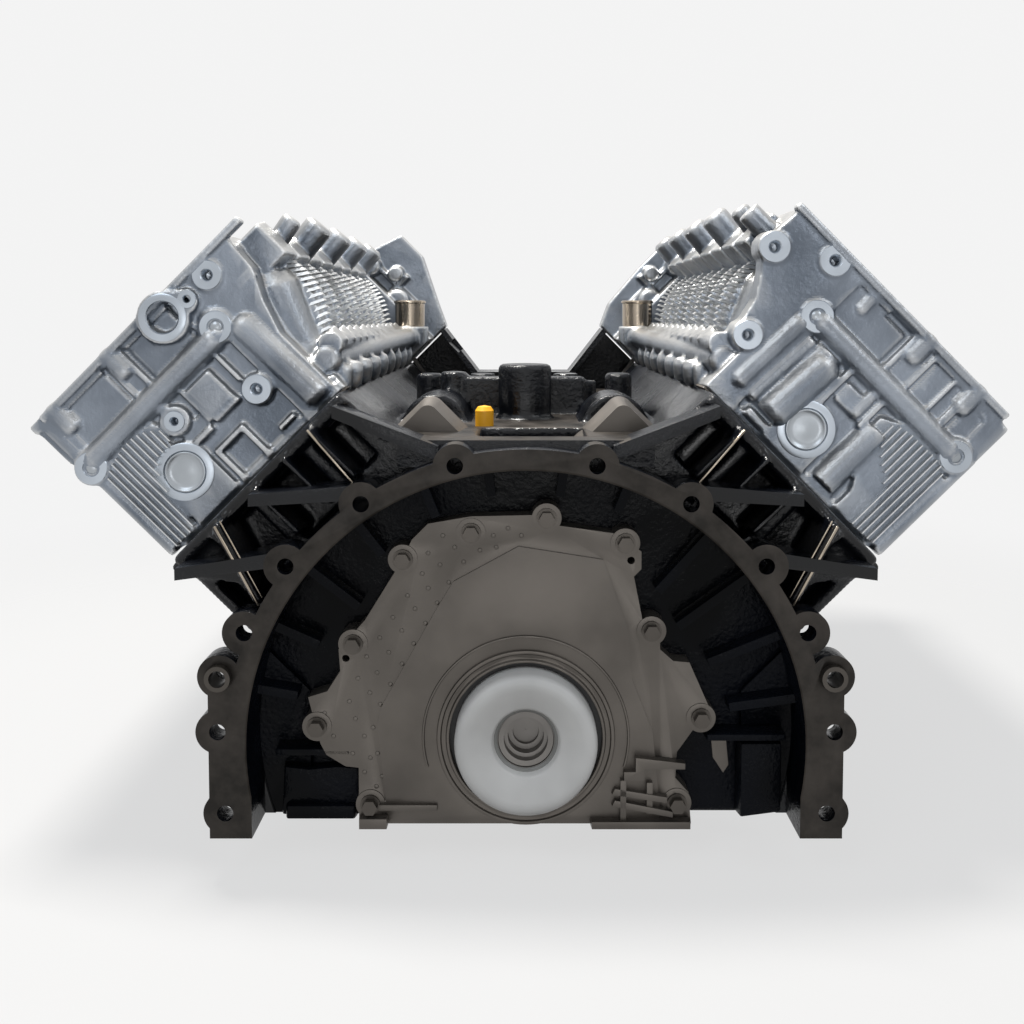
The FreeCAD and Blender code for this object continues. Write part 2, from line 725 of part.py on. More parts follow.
def make_rear_seal():
    outer = S["carrier_bore"] / 2 - S["running_gap"]
    inner = S["hub_dia"] / 2 + S["seat_gap"]
    profile = [(inner, 0), (outer, 0), (outer, 12), (outer - 3, 12), (outer - 3, 4), (inner + 2, 4), (inner, 9)]
    return turned(profile, "Y", 0, WALL - 14, 0, "rear_crank_seal")


def make_sleeve():
    """Moulded cap that keeps the seal's lip open: a tube with a dished face and a central hole."""
    outer = S["sleeve_dia"] / 2
    hub = S["hub_dia"] / 2 + S["seat_gap"]
    hole = S["sleeve_bore"] / 2
    back = BELL_FACE + 1
    reach = WALL - 14 - S["seat_gap"] - back
    inside = -S["seat_gap"] - back
    profile = [
        (hole, 6), (hole + 2, 5), (outer - 9, 2), (outer - 6, 0), (outer, 6, 6), (outer, reach),
        (hub, reach), (hub, inside), (hole, inside),
    ]
    return turned(profile, "Y", 0, back, 0, "seal_fitting_sleeve")


def make_carrier_bolts():
    flange = bar("Y", 6.8, 1.8, 0, -1.8, 0)
    head = hexagon("Y", 5.4, 5, 0, -6.6, 0)
    shank = bar("Y", 3, 34, 0, 0, 0)
    bolt = join([flange, head, shank])
    seat = (WALL - S["carrier_thick"]).value + 1
    spots = [Placement(Vector(x, seat, z), Rotation()) for x, z in CARRIER_BOLTS]
    return copies("seal_carrier_bolts", bolt, spots)


def make_bell_dowels():
    ring = cut(bar("Y", S["dowel_dia"] / 2 - 0.02, 17, 0, 0, 0), [bar("Y", DOWEL_BORE, 19, 0, -1, 0)])
    spots = []
    for side in (LEFT, RIGHT):
        spots.append(Placement(Vector(BELL_DOWEL[0] * side, BELL_FACE.value - 5, BELL_DOWEL[1]), Rotation()))
    return copies("bell_dowels", ring, spots)


make_carrier()
make_rear_seal()
make_sleeve()
make_carrier_bolts()
make_bell_dowels()


# Cylinder heads.

# Places on the heads' rear faces are (t, height above the head's lower face).
HEAD_FACE = {
    RIGHT: {
        "rail_in": S["right_rail_inner"], "rail_out": S["right_rail_outer"], "wedge": 146,
        "bosses": [(-112, 103.5), (-74.8, 127), (-55.5, 90.5), (-81, 46.5), (86, 90.5)],
        "balls": [(-55.5, 90.5), (86, 90.5)],
        "plug": (-3, 29),
        "bulges": [(-30, 12, 17, 79), (34, 11, 10, 64)],
        "arm": [(-76, 0), (-76, 38), (-90, 46), (-95, 68), (-107, 86), (-120, 100), (-118, 133), (-50, 133),
                (-50, 0)],
    },
    LEFT: {
        "rail_in": S["left_rail_inner"], "rail_out": S["left_rail_outer"], "wedge": 168,
        "bosses": [(-63, 124.4), (-41, 94.4), (-30, 43), (28, 68.4), (94, 87)],
        "balls": [(-41, 94.4), (94, 87)],
        "plug": (49.3, 38),
        "bulges": [(-58, 10, 8, 82)],
        "arm": [(-70, 0), (-70, 60), (-78, 84), (-89, 106), (-91, 133), (-40, 133), (-40, 0)],
    },
}
RELIEF = 5
SCREW_BOSS = 9
SCREW_BOSS_REACH = 22
VALVE_LIFT_IN = 3.2
ELBOW_LENGTH = 42
STUB_STEP = 1
STUB_TOP = bank_xz(RIGHT, HEAD_SEAT + S["stub_up"], -S["stub_in"])
TEARDROP = (-20, 128)
TEARDROP_EAR = (-39, 122)


def head_casting(side):
    """The head's long form: gas deck, outer wall, sloped valley wall and the cam rail."""
    face = HEAD_FACE[side]
    rail_in = face["rail_in"]
    rail_out = face["rail_out"]
    outline = [
        (-60, HEAD_SEAT),
        (S["deck_outer"], HEAD_SEAT),
        (S["port_face"], HEAD_SEAT + 8),
        (S["port_face"], HEAD_SEAT + 76),
        (rail_out, RAIL - 32),
        (rail_out, RAIL),
        (-rail_in, RAIL),
        (-rail_in, RAIL - 14),
        (-60, HEAD_SEAT + 56),
    ]
    pieces = [slab(bank_points(side, outline), S["head_start"], HEAD_LENGTH)]
    pieces.append(bank_box(side, -S["deck_inner"], -58, S["head_start"], HEAD_FRONT, HEAD_SEAT, HEAD_SEAT + 13))
    arm = [(t, HEAD_SEAT + up) for t, up in face["arm"]]
    pieces.append(slab(bank_points(side, arm), S["head_start"] - RELIEF, 15 + RELIEF))
    reach = face["wedge"]
    wedge = [
        (-58, HEAD_SEAT), (-130, HEAD_SEAT), (-142, HEAD_SEAT + 26), (-reach, HEAD_SEAT + 78),
        (-reach, RAIL - 26), (-rail_in - 4, RAIL - 2), (-50, RAIL - 2),
    ]
    pieces.append(slab(bank_points(side, wedge), HEAD_FRONT - 22, 22))
    well_in, well_out = chain_well(side)
    case = [
        (-well_in - S["rail_wall"], HEAD_SEAT), (well_out + S["rail_wall"], HEAD_SEAT),
        (well_out + S["rail_wall"], RAIL), (-well_in - S["rail_wall"], RAIL),
    ]
    pieces.append(slab(bank_points(side, case), BLOCK_FRONT + 1, HEAD_FRONT - BLOCK_FRONT - 1))
    x, z = elbow_spot(side, ELBOW_LENGTH)
    elbow = bar("Z", S["stub_dia"] / 2 + 4, ELBOW_LENGTH, 0, 0, 0)
    pieces.append(place(elbow, x, S["stub_y"], z, plumb(side)))
    return pieces


def chain_well(side):
    """How far the chain well reaches from the bore axis to the valley side and to the outer side."""
    chain_radius = S["chain_pitch"] * S["crank_teeth"] * 2 / math.tau + TOOTH_TIP + CHAIN_BAND
    link_radius = S["chain_pitch"] * S["link_teeth"] / math.tau + TOOTH_TIP + CHAIN_BAND
    return CAM_T + chain_radius + S["chain_room"], CAM_T + link_radius + S["chain_room"]


def plumb(side):
    """Turn of a piece that stands upright although it is part of a leaning head."""
    return Rotation(Y_AXIS, -size["half_vee"].value * side)


def elbow_spot(side, below):
    """A point of the coolant elbow's plumb axis, in the bank's upright frame."""
    top_x, top_z = STUB_TOP
    foot_z = top_z - below
    return (top_x * COS - foot_z * SIN) * side, top_x * SIN + foot_z * COS


def head_ports(side):
    """Port humps on the valley side, screw bosses under the rail and the water gallery."""
    rail_in = HEAD_FACE[side]["rail_in"]
    pieces = []
    for index in range(4):
        for step in (-1, 1):
            y = bore_y(side, index) + S["bore_pitch"] / 4 * step
            hump = doc.addObject("Part::Cone", "hump")
            bind(hump, "Radius1", 15)
            bind(hump, "Radius2", 23)
            bind(hump, "Height", S["rail_height"] - 34)
            place(hump, as_size(-66) * side, y, HEAD_SEAT + 12)
            pieces.append(hump)
    for index in range(5):
        y = S["head_start"] + 36 + S["bore_pitch"] * index
        x, dx = across(side, -rail_in - SCREW_BOSS_REACH, -rail_in + 12)
        pieces.append(bar("X", SCREW_BOSS, dx, x, y, RAIL - 22))
    length = HEAD_LENGTH - 40
    pieces.append(bar("Y", 9, length, as_size(-88) * side, S["head_start"] + 6, HEAD_SEAT + 30))
    return pieces


def head_rear_face(side):
    """Rail and deck lips, bosses, oil gallery, plug pad and upright bulges on the end face."""
    face = HEAD_FACE[side]
    start = S["head_start"]
    front = start - RELIEF
    rail_in = face["rail_in"]
    rail_out = face["rail_out"]
    pieces = [
        bank_box(side, -rail_in, rail_out, front, start + 1, RAIL - 8, RAIL),
        bank_box(side, -S["deck_inner"], S["deck_outer"], front + 2, start + 1, HEAD_SEAT, HEAD_SEAT + 7),
    ]
    for t, up in face["bosses"]:
        pieces.append(bar("Y", 11, 22, as_size(t * side), start - 7, HEAD_SEAT + up))
    (t0, up0), (t1, up1) = face["balls"]
    x, dx = across(side, t0, t1)
    pieces.append(bar("X", 7, dx, x, start - 2, HEAD_SEAT + (up0 + up1) / 2))
    t, up = face["plug"]
    pieces.append(bar("Y", 21, 14, as_size(t * side), start - 5, HEAD_SEAT + up))
    pieces.append(bank_box(side, t - 20, t + 20, start - 5, start + 9, HEAD_SEAT + 4, HEAD_SEAT + up))
    for t, radius, low, high in face["bulges"]:
        pieces.append(bar("Z", radius, high - low, as_size(t * side), start + radius - 10, HEAD_SEAT + low))
    if side == LEFT:
        t, up = TEARDROP
        pieces.append(bar("Y", 19, 24, as_size(t * side), start - 10, HEAD_SEAT + up - 3))
        t, up = TEARDROP_EAR
        pieces.append(bar("Y", 9, 24, as_size(t * side), start - 10, HEAD_SEAT + up))
    return pieces


def head_outer_side(side):
    """Exhaust port pads with their stud bosses."""
    pieces = []
    for index in range(4):
        y = bore_y(side, index)
        pieces.append(bank_box(side, S["port_face"] - 4, S["port_face"] + 6, y - 30, y + 30,
                               HEAD_SEAT + 16, HEAD_SEAT + 62))
    return pieces


def head_cuts(side):
    """Valve gear space, chain well, camshaft saddles, ports, bolt holes, plug holes."""
    face = HEAD_FACE[side]
    rail_in = face["rail_in"] - S["rail_wall"]
    rail_out = face["rail_out"] - S["rail_wall"]
    floor = HEAD_SEAT + S["well_floor"]
    well = [
        (-52, floor), (rail_out - 4, floor), (rail_out, RAIL - 20), (rail_out, RAIL + 1),
        (-rail_in, RAIL + 1), (-rail_in, RAIL - 12), (-52, HEAD_SEAT + 68),
    ]
    spaces = [S["head_start"] + 14] + [bore_y(side, index) + S["saddle_width"] / 2 for index in range(4)]
    ends = [bore_y(side, index) - S["saddle_width"] / 2 for index in range(4)] + [BLOCK_FRONT - 12]
    pieces = []
    for start, end in zip(spaces, ends):
        pieces.append(slab(bank_points(side, well), start, end - start))
    roof = bank_box(side, -rail_in, rail_out, S["head_start"] + 14, HEAD_FRONT - S["rail_wall"], CAM_U, RAIL + 1)
    pieces.append(roof)
    well_in, well_out = chain_well(side)
    pieces.append(bank_box(side, -well_in, well_out, BLOCK_FRONT + 8, HEAD_FRONT - S["rail_wall"],
                           HEAD_SEAT - 1, RAIL + 1))
    pieces.append(bank_box(side, -S["deck_outer"] * 2, S["deck_outer"] * 2, 0, HEAD_FRONT + 1,
                           HEAD_SEAT - S["deck_inner"], HEAD_SEAT))
    for offset in (-1, 1):
        pieces.append(bar("Y", S["cam_journal"] / 2 + S["running_gap"], HEAD_LENGTH - 24,
                          CAM_T * offset, S["head_start"] + 14, CAM_U))
    for index in range(4):
        y = bore_y(side, index)
        x, dx = across(side, S["port_face"] - 44, S["port_face"] + 8)
        pieces.append(bar("X", 16, dx, x, y, HEAD_SEAT + 39))
    for x, y in head_bolt_spots(side):
        pieces.append(bar("Z", 6.5, S["well_floor"] + 4, x, y, HEAD_SEAT - 2))
        pieces.append(bar("Z", 10.6, 30, x, y, floor))
    for t, up in face["bosses"]:
        pieces.append(bar("Y", 4.2, 16, as_size(t * side), S["head_start"] - 8, HEAD_SEAT + up))
    t, up = face["plug"]
    pieces.append(bar("Y", 15, 12, as_size(t * side), S["head_start"] - 6, HEAD_SEAT + up))
    x, z = elbow_spot(side, S["stub_sunk"])
    socket = bar("Z", S["stub_dia"] / 2 - STUB_STEP + S["running_gap"], S["stub_sunk"] * 2, 0, 0, 0)
    pieces.append(place(socket, x, S["stub_y"], z, plumb(side)))
    if side == LEFT:
        t, up = TEARDROP
        pieces.append(bar("Y", 11, 22, as_size(t * side), S["head_start"] - 11, HEAD_SEAT + up - 3))
        t, up = TEARDROP_EAR
        pieces.append(bar("Y", 3.4, 22, as_size(t * side), S["head_start"] - 11, HEAD_SEAT + up))
    for x, y, lean in valve_spots(side):
        profile = [(0, -8), (15.3, -8), (15.3, 2.2), (3.05, 14.6), (3.05, 90), (0, 90)]
        pocket = turned(profile, "Z", 0, 0, 0)
        pieces.append(place(pocket, x, y, HEAD_SEAT + VALVE_LIFT_IN, Rotation(Y_AXIS, lean)))
    return pieces


def valve_spots(side):
    """Place and lean of each valve of a bank, in the bank's upright frame."""
    foot = S["valve_spread"] / 2
    lean = math.degrees(math.atan2((CAM_T - foot).value, S["cam_height"].value))
    spots = []
    for index in range(4):
        for step in (-1, 1):
            y = bore_y(side, index) + S["valve_pitch"] / 2 * step
            for offset in (-1, 1):
                spots.append((foot * offset, y, lean * offset))
    return spots


def make_head(side):
    """One casting in two nodes, parted at the valve gear floor: the ports below it, the cam box above."""
    solid = join(head_casting(side) + head_ports(side) + head_rear_face(side) + head_outer_side(side))
    casting = cut(solid, head_cuts(side))
    above = box(-CLEAR, 0, HEAD_SEAT + S["well_floor"], CLEAR * 2, HEAD_FRONT + 1, CLEAR)
    tilt(cut(casting, [above], f"cylinder_head_{SIDE_NAME[side]}"), side)
    tilt(common(casting, above, f"cam_box_{SIDE_NAME[side]}"), side)


def make_gasket(side):
    sheet_metal = bank_box(side, -S["deck_inner"], S["deck_outer"], S["head_start"], BLOCK_FRONT,
                           DECK + S["running_gap"], HEAD_SEAT - S["running_gap"])
    holes = []
    for index in range(4):
        holes.append(bar("Z", S["bore_dia"] / 2 + 1, 10, 0, bore_y(side, index), DECK - 4))
    for x, y in head_bolt_spots(side):
        holes.append(bar("Z", 7, 10, x, y, DECK - 4))
    gasket = cut(sheet_metal, holes, f"head_gasket_{SIDE_NAME[side]}")
    return tilt(gasket, side)


def upright(side, x, y, z):
    """Placement of a copied piece in a bank: first set in the upright frame, then leaned over."""
    lean = Placement(Vector(), Rotation(Y_AXIS, size["half_vee"].value * side))
    return lean.multiply(Placement(Vector(as_size(x).value, as_size(y).value, as_size(z).value), Rotation()))


def make_head_bolts():
    floor = HEAD_SEAT + S["well_floor"]
    shank = bar("Z", 6, S["well_floor"] + 50, 0, 0, -S["well_floor"] - 50)
    bolt = join([shank, bar("Z", 10, 2, 0, 0, 0), hexagon("Z", 9, 8, 0, 0, 2)])
    spots = []
    for side in (LEFT, RIGHT):
        for x, y in head_bolt_spots(side):
            spots.append(upright(side, x, y, floor))
    return copies("head_bolts", bolt, spots)


def make_cam_caps(side):
    """Bearing caps over both camshafts of a bank."""
    half_width = 19
    blank = box(-half_width, -S["saddle_width"] / 2 + 1, 0, half_width * 2, S["saddle_width"] - 2, 19)
    tools = [bar("Y", S["cam_journal"] / 2 + S["running_gap"], 40, 0, -20, 0)]
    for x in (-half_width, half_width):
        tools.append(box(x - 6, -20, 12, 12, 40, 20))
    cap = cut(blank, tools)
    spots = []
    for index in range(4):
        for offset in (-1, 1):
            spots.append(upright(side, CAM_T * offset, bore_y(side, index), CAM_U))
    return copies(f"cam_caps_{SIDE_NAME[side]}", cap, spots)


def make_valves():
    """Poppet valves with their spring retainers, and the springs."""
    reach = 95
    stem = turned([(0, 0), (15, 0), (15, 2), (3, 13.5), (3, reach), (0, reach)], "Z", 0, 0, 0)
    retainer = turned([(3, reach - 9), (8, reach - 9), (11.4, reach - 5), (11.4, reach - 3), (3, reach - 3)],
                      "Z", 0, 0, 0)
    valve = join([stem, retainer])
    low = S["well_floor"] + 1
    spring = cut(bar("Z", 11.3, reach - 9.5 - low, 0, 0, low), [bar("Z", 8.2, 60, 0, 0, low - 5)])
    spots = []
    for side in (LEFT, RIGHT):
        for x, y, lean in valve_spots(side):
            spot = upright(side, x, y, HEAD_SEAT + VALVE_LIFT_IN)
            spots.append(spot.multiply(Placement(Vector(), Rotation(Y_AXIS, lean))))
    copies("valves", valve, spots)
    copies("valve_springs", spring, spots)


for bank in (LEFT, RIGHT):
    make_head(bank)
    make_gasket(bank)
    make_cam_caps(bank)
make_head_bolts()
make_valves()


# Camshafts and timing drive.

def root_of(number):
    return Size(math.sqrt(number.value), f"sqrt({number.formula})")


def lobe_outline():
    """Base circle and nose circle joined by two flanks."""
    base = S["lobe_base"]
    nose = as_size(8)
    reach = S["lobe_lift"] + base - nose
    cosine = (base - nose) / reach
    sine = root_of(1 - cosine * cosine)
    return [
        (base * sine, base * cosine, base * 1.0),
        (nose * sine, reach + nose * cosine),
        (-nose * sine, reach + nose * cosine, nose),
        (-base * sine, base * cosine),
        (0, -base, base * 1.0),
    ]


FIRING = {(LEFT, 0): 0, (RIGHT, 2): 90, (LEFT, 2): 180, (RIGHT, 1): 270,
          (LEFT, 1): 360, (RIGHT, 3): 450, (LEFT, 3): 540, (RIGHT, 0): 630}
CAM_NAMES = {-1: "intake", 1: "exhaust"}


def make_camshaft(side, offset):
    """Hollow-cast shaft with a lobe each side of every bearing; offset -1 is the valley side."""
    start = S["head_start"] + 17
    end = BLOCK_FRONT + S["head_overhang"] - 14
    pieces = [bar("Y", S["cam_shaft"] / 2, end - start, 0, start, 0)]
    for index in range(4):
        middle = bore_y(side, index)
        pieces.append(bar("Y", S["cam_journal"] / 2, S["saddle_width"] + 2, 0, middle - S["saddle_width"] / 2 - 1, 0))
        turn = FIRING[(side, index)] / 2 + 110 * offset
        for step in (-1, 1):
            y = middle + S["valve_pitch"] / 2 * step - S["lobe_width"] / 2
            lobe = slab(lobe_outline(), y, S["lobe_width"])
            lobe.Placement = Placement(Vector(), Rotation(Y_AXIS, turn))
            pieces.append(lobe)
    pieces.append(bar("Y", S["cam_journal"] / 2, 19, 0, BLOCK_FRONT - 11.5, 0))
    shaft = join(pieces, f"camshaft_{SIDE_NAME[side]}_{CAM_NAMES[offset]}")
    return shift_and_tilt(shaft, side, CAM_T * offset * side, CAM_U)


def shift_and_tilt(piece, side, x, z):
    """Moves a piece made about the crank axis to its camshaft's axis in the leaning bank."""
    angle = size["half_vee"]
    piece.Placement = Placement(Vector(), Rotation(Vector(0, side, 0), angle.value))
    bind(piece, "Placement.Rotation.Angle", angle)
    bind(piece, "Placement.Base.x", x * COS + z * SIN * side)
    bind(piece, "Placement.Base.z", z * COS - x * SIN * side)
    return piece


def sprocket_blank(teeth, tooth_height, width):
    """Toothed disc about the y axis; the tips lie just outside the pitch circle."""
    pitch_radius = S["chain_pitch"].value * teeth / math.tau
    points = []
    for tooth in range(teeth):
        for share, radius in ((0.0, pitch_radius - tooth_height), (0.38, pitch_radius + TOOTH_TIP),
                              (0.62, pitch_radius + TOOTH_TIP)):
            turn = math.tau * (tooth + share) / teeth
            points.append(Vector(radius * math.cos(turn), 0, radius * math.sin(turn)))
    points.append(points[0])
    face = Part.Face(Part.makePolygon(points))
    return face.extrude(Vector(0, width, 0))


def sprocket_tip(teeth):
    return S["chain_pitch"].value * teeth / math.tau + TOOTH_TIP


def chain_loop(first, first_radius, second, second_radius, width):
    """Closed band round two sprockets: outer hull less inner hull."""
    def hull(grow):
        big = Part.makeCylinder(first_radius + grow, width, Vector(first.x, 0, first.z), Y_AXIS)
        small = Part.makeCylinder(second_radius + grow, width, Vector(second.x, 0, second.z), Y_AXIS)
        line = second - first
        reach = line.Length
        lean = math.acos((first_radius - second_radius) / reach)
        heading = math.atan2(line.z, line.x)
        corners = []
        for centre, radius, sign in ((first, first_radius, 1), (second, second_radius, 1),
                                     (second, second_radius, -1), (first, first_radius, -1)):
            turn = heading + lean * sign
            corners.append(centre + Vector(math.cos(turn), 0, math.sin(turn)) * (radius + grow))
        corners.append(corners[0])
        middle = Part.Face(Part.makePolygon(corners)).extrude(Vector(0, width, 0))
        return big.fuse([small, middle])
    return hull(CHAIN_BAND).cut(hull(CHAIN_LIFT))


def shaped(label, shape, spot=Placement()):
    piece = doc.addObject("Part::Feature", label)
    piece.Shape = shape
    piece.Label = label
    piece.Placement = spot.multiply(shape.Placement)
    return piece


def cam_axis(side, offset):
    """Where a camshaft's axis crosses the XZ plane."""
    lean = Rotation(Y_AXIS, size["half_vee"].value * side)
    return lean.multVec(Vector(CAM_T.value * offset * side, 0, CAM_U.value))


def make_timing_drive():
    width = S["sprocket_width"].value
    teeth = int(S["crank_teeth"].value)
    link_teeth = int(S["link_teeth"].value)
    first_row = BLOCK_FRONT.value + 26
    rows = {RIGHT: first_row, LEFT: first_row + width + 5}
    link_row = BLOCK_FRONT.value + 13
    bore = S["snout_dia"].value / 2
    hub = Part.makeCylinder(bore + 4, rows[LEFT] + width - first_row + 4, Vector(0, first_row - 2, 0), Y_AXIS)
    double = hub
    for side in (RIGHT, LEFT):
        blank = sprocket_blank(teeth, 3.2, width)
        blank.translate(Vector(0, rows[side], 0))
        double = double.fuse(blank)
    double = double.cut(Part.makeCylinder(bore, 80, Vector(0, first_row - 20, 0), Y_AXIS))
    shaped("crank_sprocket", double)
    links = []
    for side in (RIGHT, LEFT):
        intake = cam_axis(side, -1)
        exhaust = cam_axis(side, 1)
        shaft = S["cam_shaft"].value / 2
        for offset, axis in ((-1, intake), (1, exhaust)):
            link = sprocket_blank(link_teeth, 3.2, width)
            link.translate(Vector(0, link_row, 0))
            body = link.fuse(Part.makeCylinder(shaft + 5, 10, Vector(0, link_row - 2, 0), Y_AXIS))
            if offset == -1:
                big = sprocket_blank(teeth * 2, 3.2, width)
                big.translate(Vector(0, rows[side], 0))
                collar = Part.makeCylinder(shaft + 5, rows[side] + width + 2 - link_row, Vector(0, link_row, 0),
                                           Y_AXIS)
                body = body.fuse([big, collar])
            body = body.cut(Part.makeCylinder(shaft, 90, Vector(0, link_row - 20, 0), Y_AXIS))
            body.translate(Vector(axis.x, 0, axis.z))
            shaped(f"cam_sprocket_{SIDE_NAME[side]}_{CAM_NAMES[offset]}", body)
        main = chain_loop(Vector(), sprocket_tip(teeth), intake, sprocket_tip(teeth * 2), width + 2)
        main.translate(Vector(0, rows[side] - 1, 0))
        shaped(f"timing_chain_{SIDE_NAME[side]}", main)
        loop = chain_loop(intake, sprocket_tip(link_teeth), exhaust, sprocket_tip(link_teeth), width + 2)
        loop.translate(Vector(0, link_row - 1, 0))
        links.append(loop)
    shaped("camshaft_link_chains", Part.makeCompound(links))


for bank in (LEFT, RIGHT):
    for cam in (-1, 1):
        make_camshaft(bank, cam)
doc.recompute()
make_timing_drive()


# Timing cover and the pieces round the crankshaft's nose.

def cover_half(inset):
    """Half outline of the timing cover; inset draws the same form smaller."""
    side_z = (S["rail_half"] - S["deck_outer"] * COS) / SIN * COS - S["deck_outer"] * SIN
    outer = bank_xz(RIGHT, DECK, S["deck_outer"] - inset)
    inner = bank_xz(RIGHT, DECK, inset - S["cover_reach"])
    notch = bank_xz(RIGHT, DECK - 62, inset - S["cover_reach"] + 8)
    return [
        (S["rail_half"] - inset, -S["pan_drop"] + inset),
        (S["rail_half"] - inset, side_z),
        outer,
        inner,
        notch,
    ]


def make_cover():
    start = BLOCK_FRONT + 0.2
    solid = slab(mirrored(cover_half(as_size(0))), start, S["cover_depth"])
    hollow = slab(mirrored(cover_half(S["cover_wall"])), start - 1, S["cover_depth"] - S["cover_wall"] + 1)
    nose = bar("Y", 42, 14, 0, start + S["cover_depth"] - 4, 0)
    tools = [hollow, bar("Y", 31, 80, 0, start, 0)]
    for side in (LEFT, RIGHT):
        slot = bank_box(side, -110, 74, start - 1, start + S["cover_depth"] - S["cover_wall"], DECK - 12, DECK + 4)
        tools.append(tilt(slot, side))
    return cut(join([solid, nose]), tools, "timing_cover")


def make_front_seal():
    outer = 31 - S["running_gap"]
    inner = S["snout_dia"] / 2 + S["seat_gap"]
    profile = [(inner, 0), (outer, 0), (outer, 9), (outer - 3, 9), (outer - 3, 3), (inner + 2, 3), (inner, 7)]
    return turned(profile, "Y", 0, BLOCK_FRONT + S["cover_depth"] + 0.5, 0, "front_crank_seal")


make_cover()
make_front_seal()


# Pistons, rings and gudgeon pins.

def piston_height(angle):
    """Gudgeon pin's height along the bore for a crankpin at an angle past top centre."""
    throw = CRANK_THROW.value
    lean = math.radians(angle)
    return throw * math.cos(lean) + math.sqrt(S["rod_length"].value ** 2 - (throw * math.sin(lean)) ** 2)


def make_piston(number, side, index):
    radius = S["bore_dia"] / 2 - S["running_gap"]
    crown = S["crown_height"]
    deep = radius - 3.6
    profile = [
        (0, 28), (radius - 8, 28), (radius - 6, -27), (radius, -27), (radius, crown - 19),
        (deep, crown - 19), (deep, crown - 16), (radius, crown - 16), (radius, crown - 12),
        (deep, crown - 12), (deep, crown - 10), (radius, crown - 10), (radius, crown - 1.5),
        (radius - 1.5, crown), (28, crown), (23, crown - 9), (0, crown - 6),
    ]
    skirt = turned(profile, "Z", 0, 0, 0)
    bosses = [box(-13, 14, -14, 26, 23, 44), box(-13, -37, -14, 26, 23, 44)]
    body = cut(join([skirt] + bosses), [bar("Y", 15 + S["running_gap"], 90, 0, -45, 0)])
    rings = []
    for low, high in ((crown - 18.9, crown - 16.1), (crown - 11.9, crown - 10.1)):
        ring = cut(bar("Z", radius, high - low, 0, 0, low), [bar("Z", deep + 0.1, 60, 0, 0, low - 20)])
        rings.append(ring)
    rest = piston_height(PIN_ANGLES[index] - size["half_vee"].value * side)
    spot = upright(side, 0, bore_y(side, index), rest)
    pin = cut(bar("Y", 15, 66, 0, -33, 0), [bar("Y", 9, 70, 0, -35, 0)])
    doc.recompute()
    whole = Part.makeCompound([body.Shape] + [ring.Shape for ring in rings])
    shaped(f"piston_{number}", whole, spot)
    shaped(f"gudgeon_pin_{number}", pin.Shape, spot)
    return rest


for index in range(4):
    make_piston(index + 1, RIGHT, index)
    make_piston(index + 5, LEFT, index)


# Small pieces.

def make_plugs():
    cup = turned([(0, 0), (14, 0), (14.9, 1), (14.9, 6), (13.4, 6), (13.4, 2.5), (0, 2.5)], "Y", 0, -3, 0)
    ball = turned([(0, 0), (3, 0.8), (4.15, 3), (4.15, 6), (0, 6)], "Y", 0, -6, 0)
    cups = []
    balls = []
    for side in (LEFT, RIGHT):
        t, up = HEAD_FACE[side]["plug"]
        cups.append(upright(side, t * side, S["head_start"], HEAD_SEAT + up))
        for t, up in HEAD_FACE[side]["balls"]:
            balls.append(upright(side, t * side, S["head_start"], HEAD_SEAT + up))
    copies("core_plugs", cup, cups)
    copies("gallery_ball_plugs", ball, balls)


def make_valley_cap():
    rim = CAP_RADIUS
    cap = turned([(0, 0), (rim, 0), (rim, CAP_SUNK + 11), (rim - 2, CAP_SUNK + 14), (0, CAP_SUNK + 15)], "Z", 0, 0, 0)
    x, y = CAP_SPOT
    spot = Placement(Vector(x, y, S["valley_height"].value - CAP_SUNK + 0.1), Rotation())
    return copies("valley_sensor_cap", cap, [spot])


def make_stubs():
    """Hose stubs: a thin neck in the elbow's socket, a step just above it, then the hose's seat."""
    outer = S["stub_dia"] / 2
    neck = outer - STUB_STEP
    step = S["stub_sunk"] + STUB_STEP
    tube = turned([(neck - 2, 0), (neck, 0), (neck, step), (outer, step), (outer, 41), (neck - 2, 41)], "Z", 0, 0, 0)
    top_x, top_z = STUB_TOP
    for side in (LEFT, RIGHT):
        low = (top_z - S["stub_sunk"] + S["running_gap"]).value
        spot = Placement(Vector(top_x.value * side, S["stub_y"].value, low), Rotation())
        copies(f"coolant_stub_{SIDE_NAME[side]}", tube, [spot])


make_plugs()
make_valley_cap()
make_stubs()


# Check every piece, then write each node to its own file.

NODES = [
    "engine_block", "clutch_housing_flange", "rear_seal_carrier", "rear_crank_seal", "seal_fitting_sleeve", "seal_carrier_bolts",
    "bell_dowels", "main_bearing_caps", "main_cap_bolts", "main_bearing_shells", "head_bolts", "valves",
    "valve_springs", "core_plugs", "gallery_ball_plugs", "valley_sensor_cap", "timing_cover",
    "front_crank_seal", "camshaft_link_chains", "crankshaft", "crank_sprocket",
]
for bank in (LEFT, RIGHT):
    name = SIDE_NAME[bank]
    NODES += [f"crankcase_skirt_{name}", f"cylinder_head_{name}", f"cam_box_{name}", f"head_gasket_{name}",
              f"cam_caps_{name}", f"timing_chain_{name}", f"coolant_stub_{name}"]
    for cam in (-1, 1):
        NODES += [f"camshaft_{name}_{CAM_NAMES[cam]}", f"cam_sprocket_{name}_{CAM_NAMES[cam]}"]
for number in range(1, 9):
    NODES += [f"piston_{number}", f"gudgeon_pin_{number}"]

doc.recompute()
faults = []
for item in doc.Objects:
    if "Invalid" in item.State or "Error" in item.State:
        faults.append(f"{item.Label} is {item.State}")
found = {item.Label: item for item in doc.Objects if item.Label in NODES}
for node in NODES:
    if node not in found:
        faults.append(f"{node} is missing")
    elif found[node].Shape.isNull() or not found[node].Shape.isValid():
        faults.append(f"{node} has no valid shape")
if faults:
    raise RuntimeError("; ".join(faults))

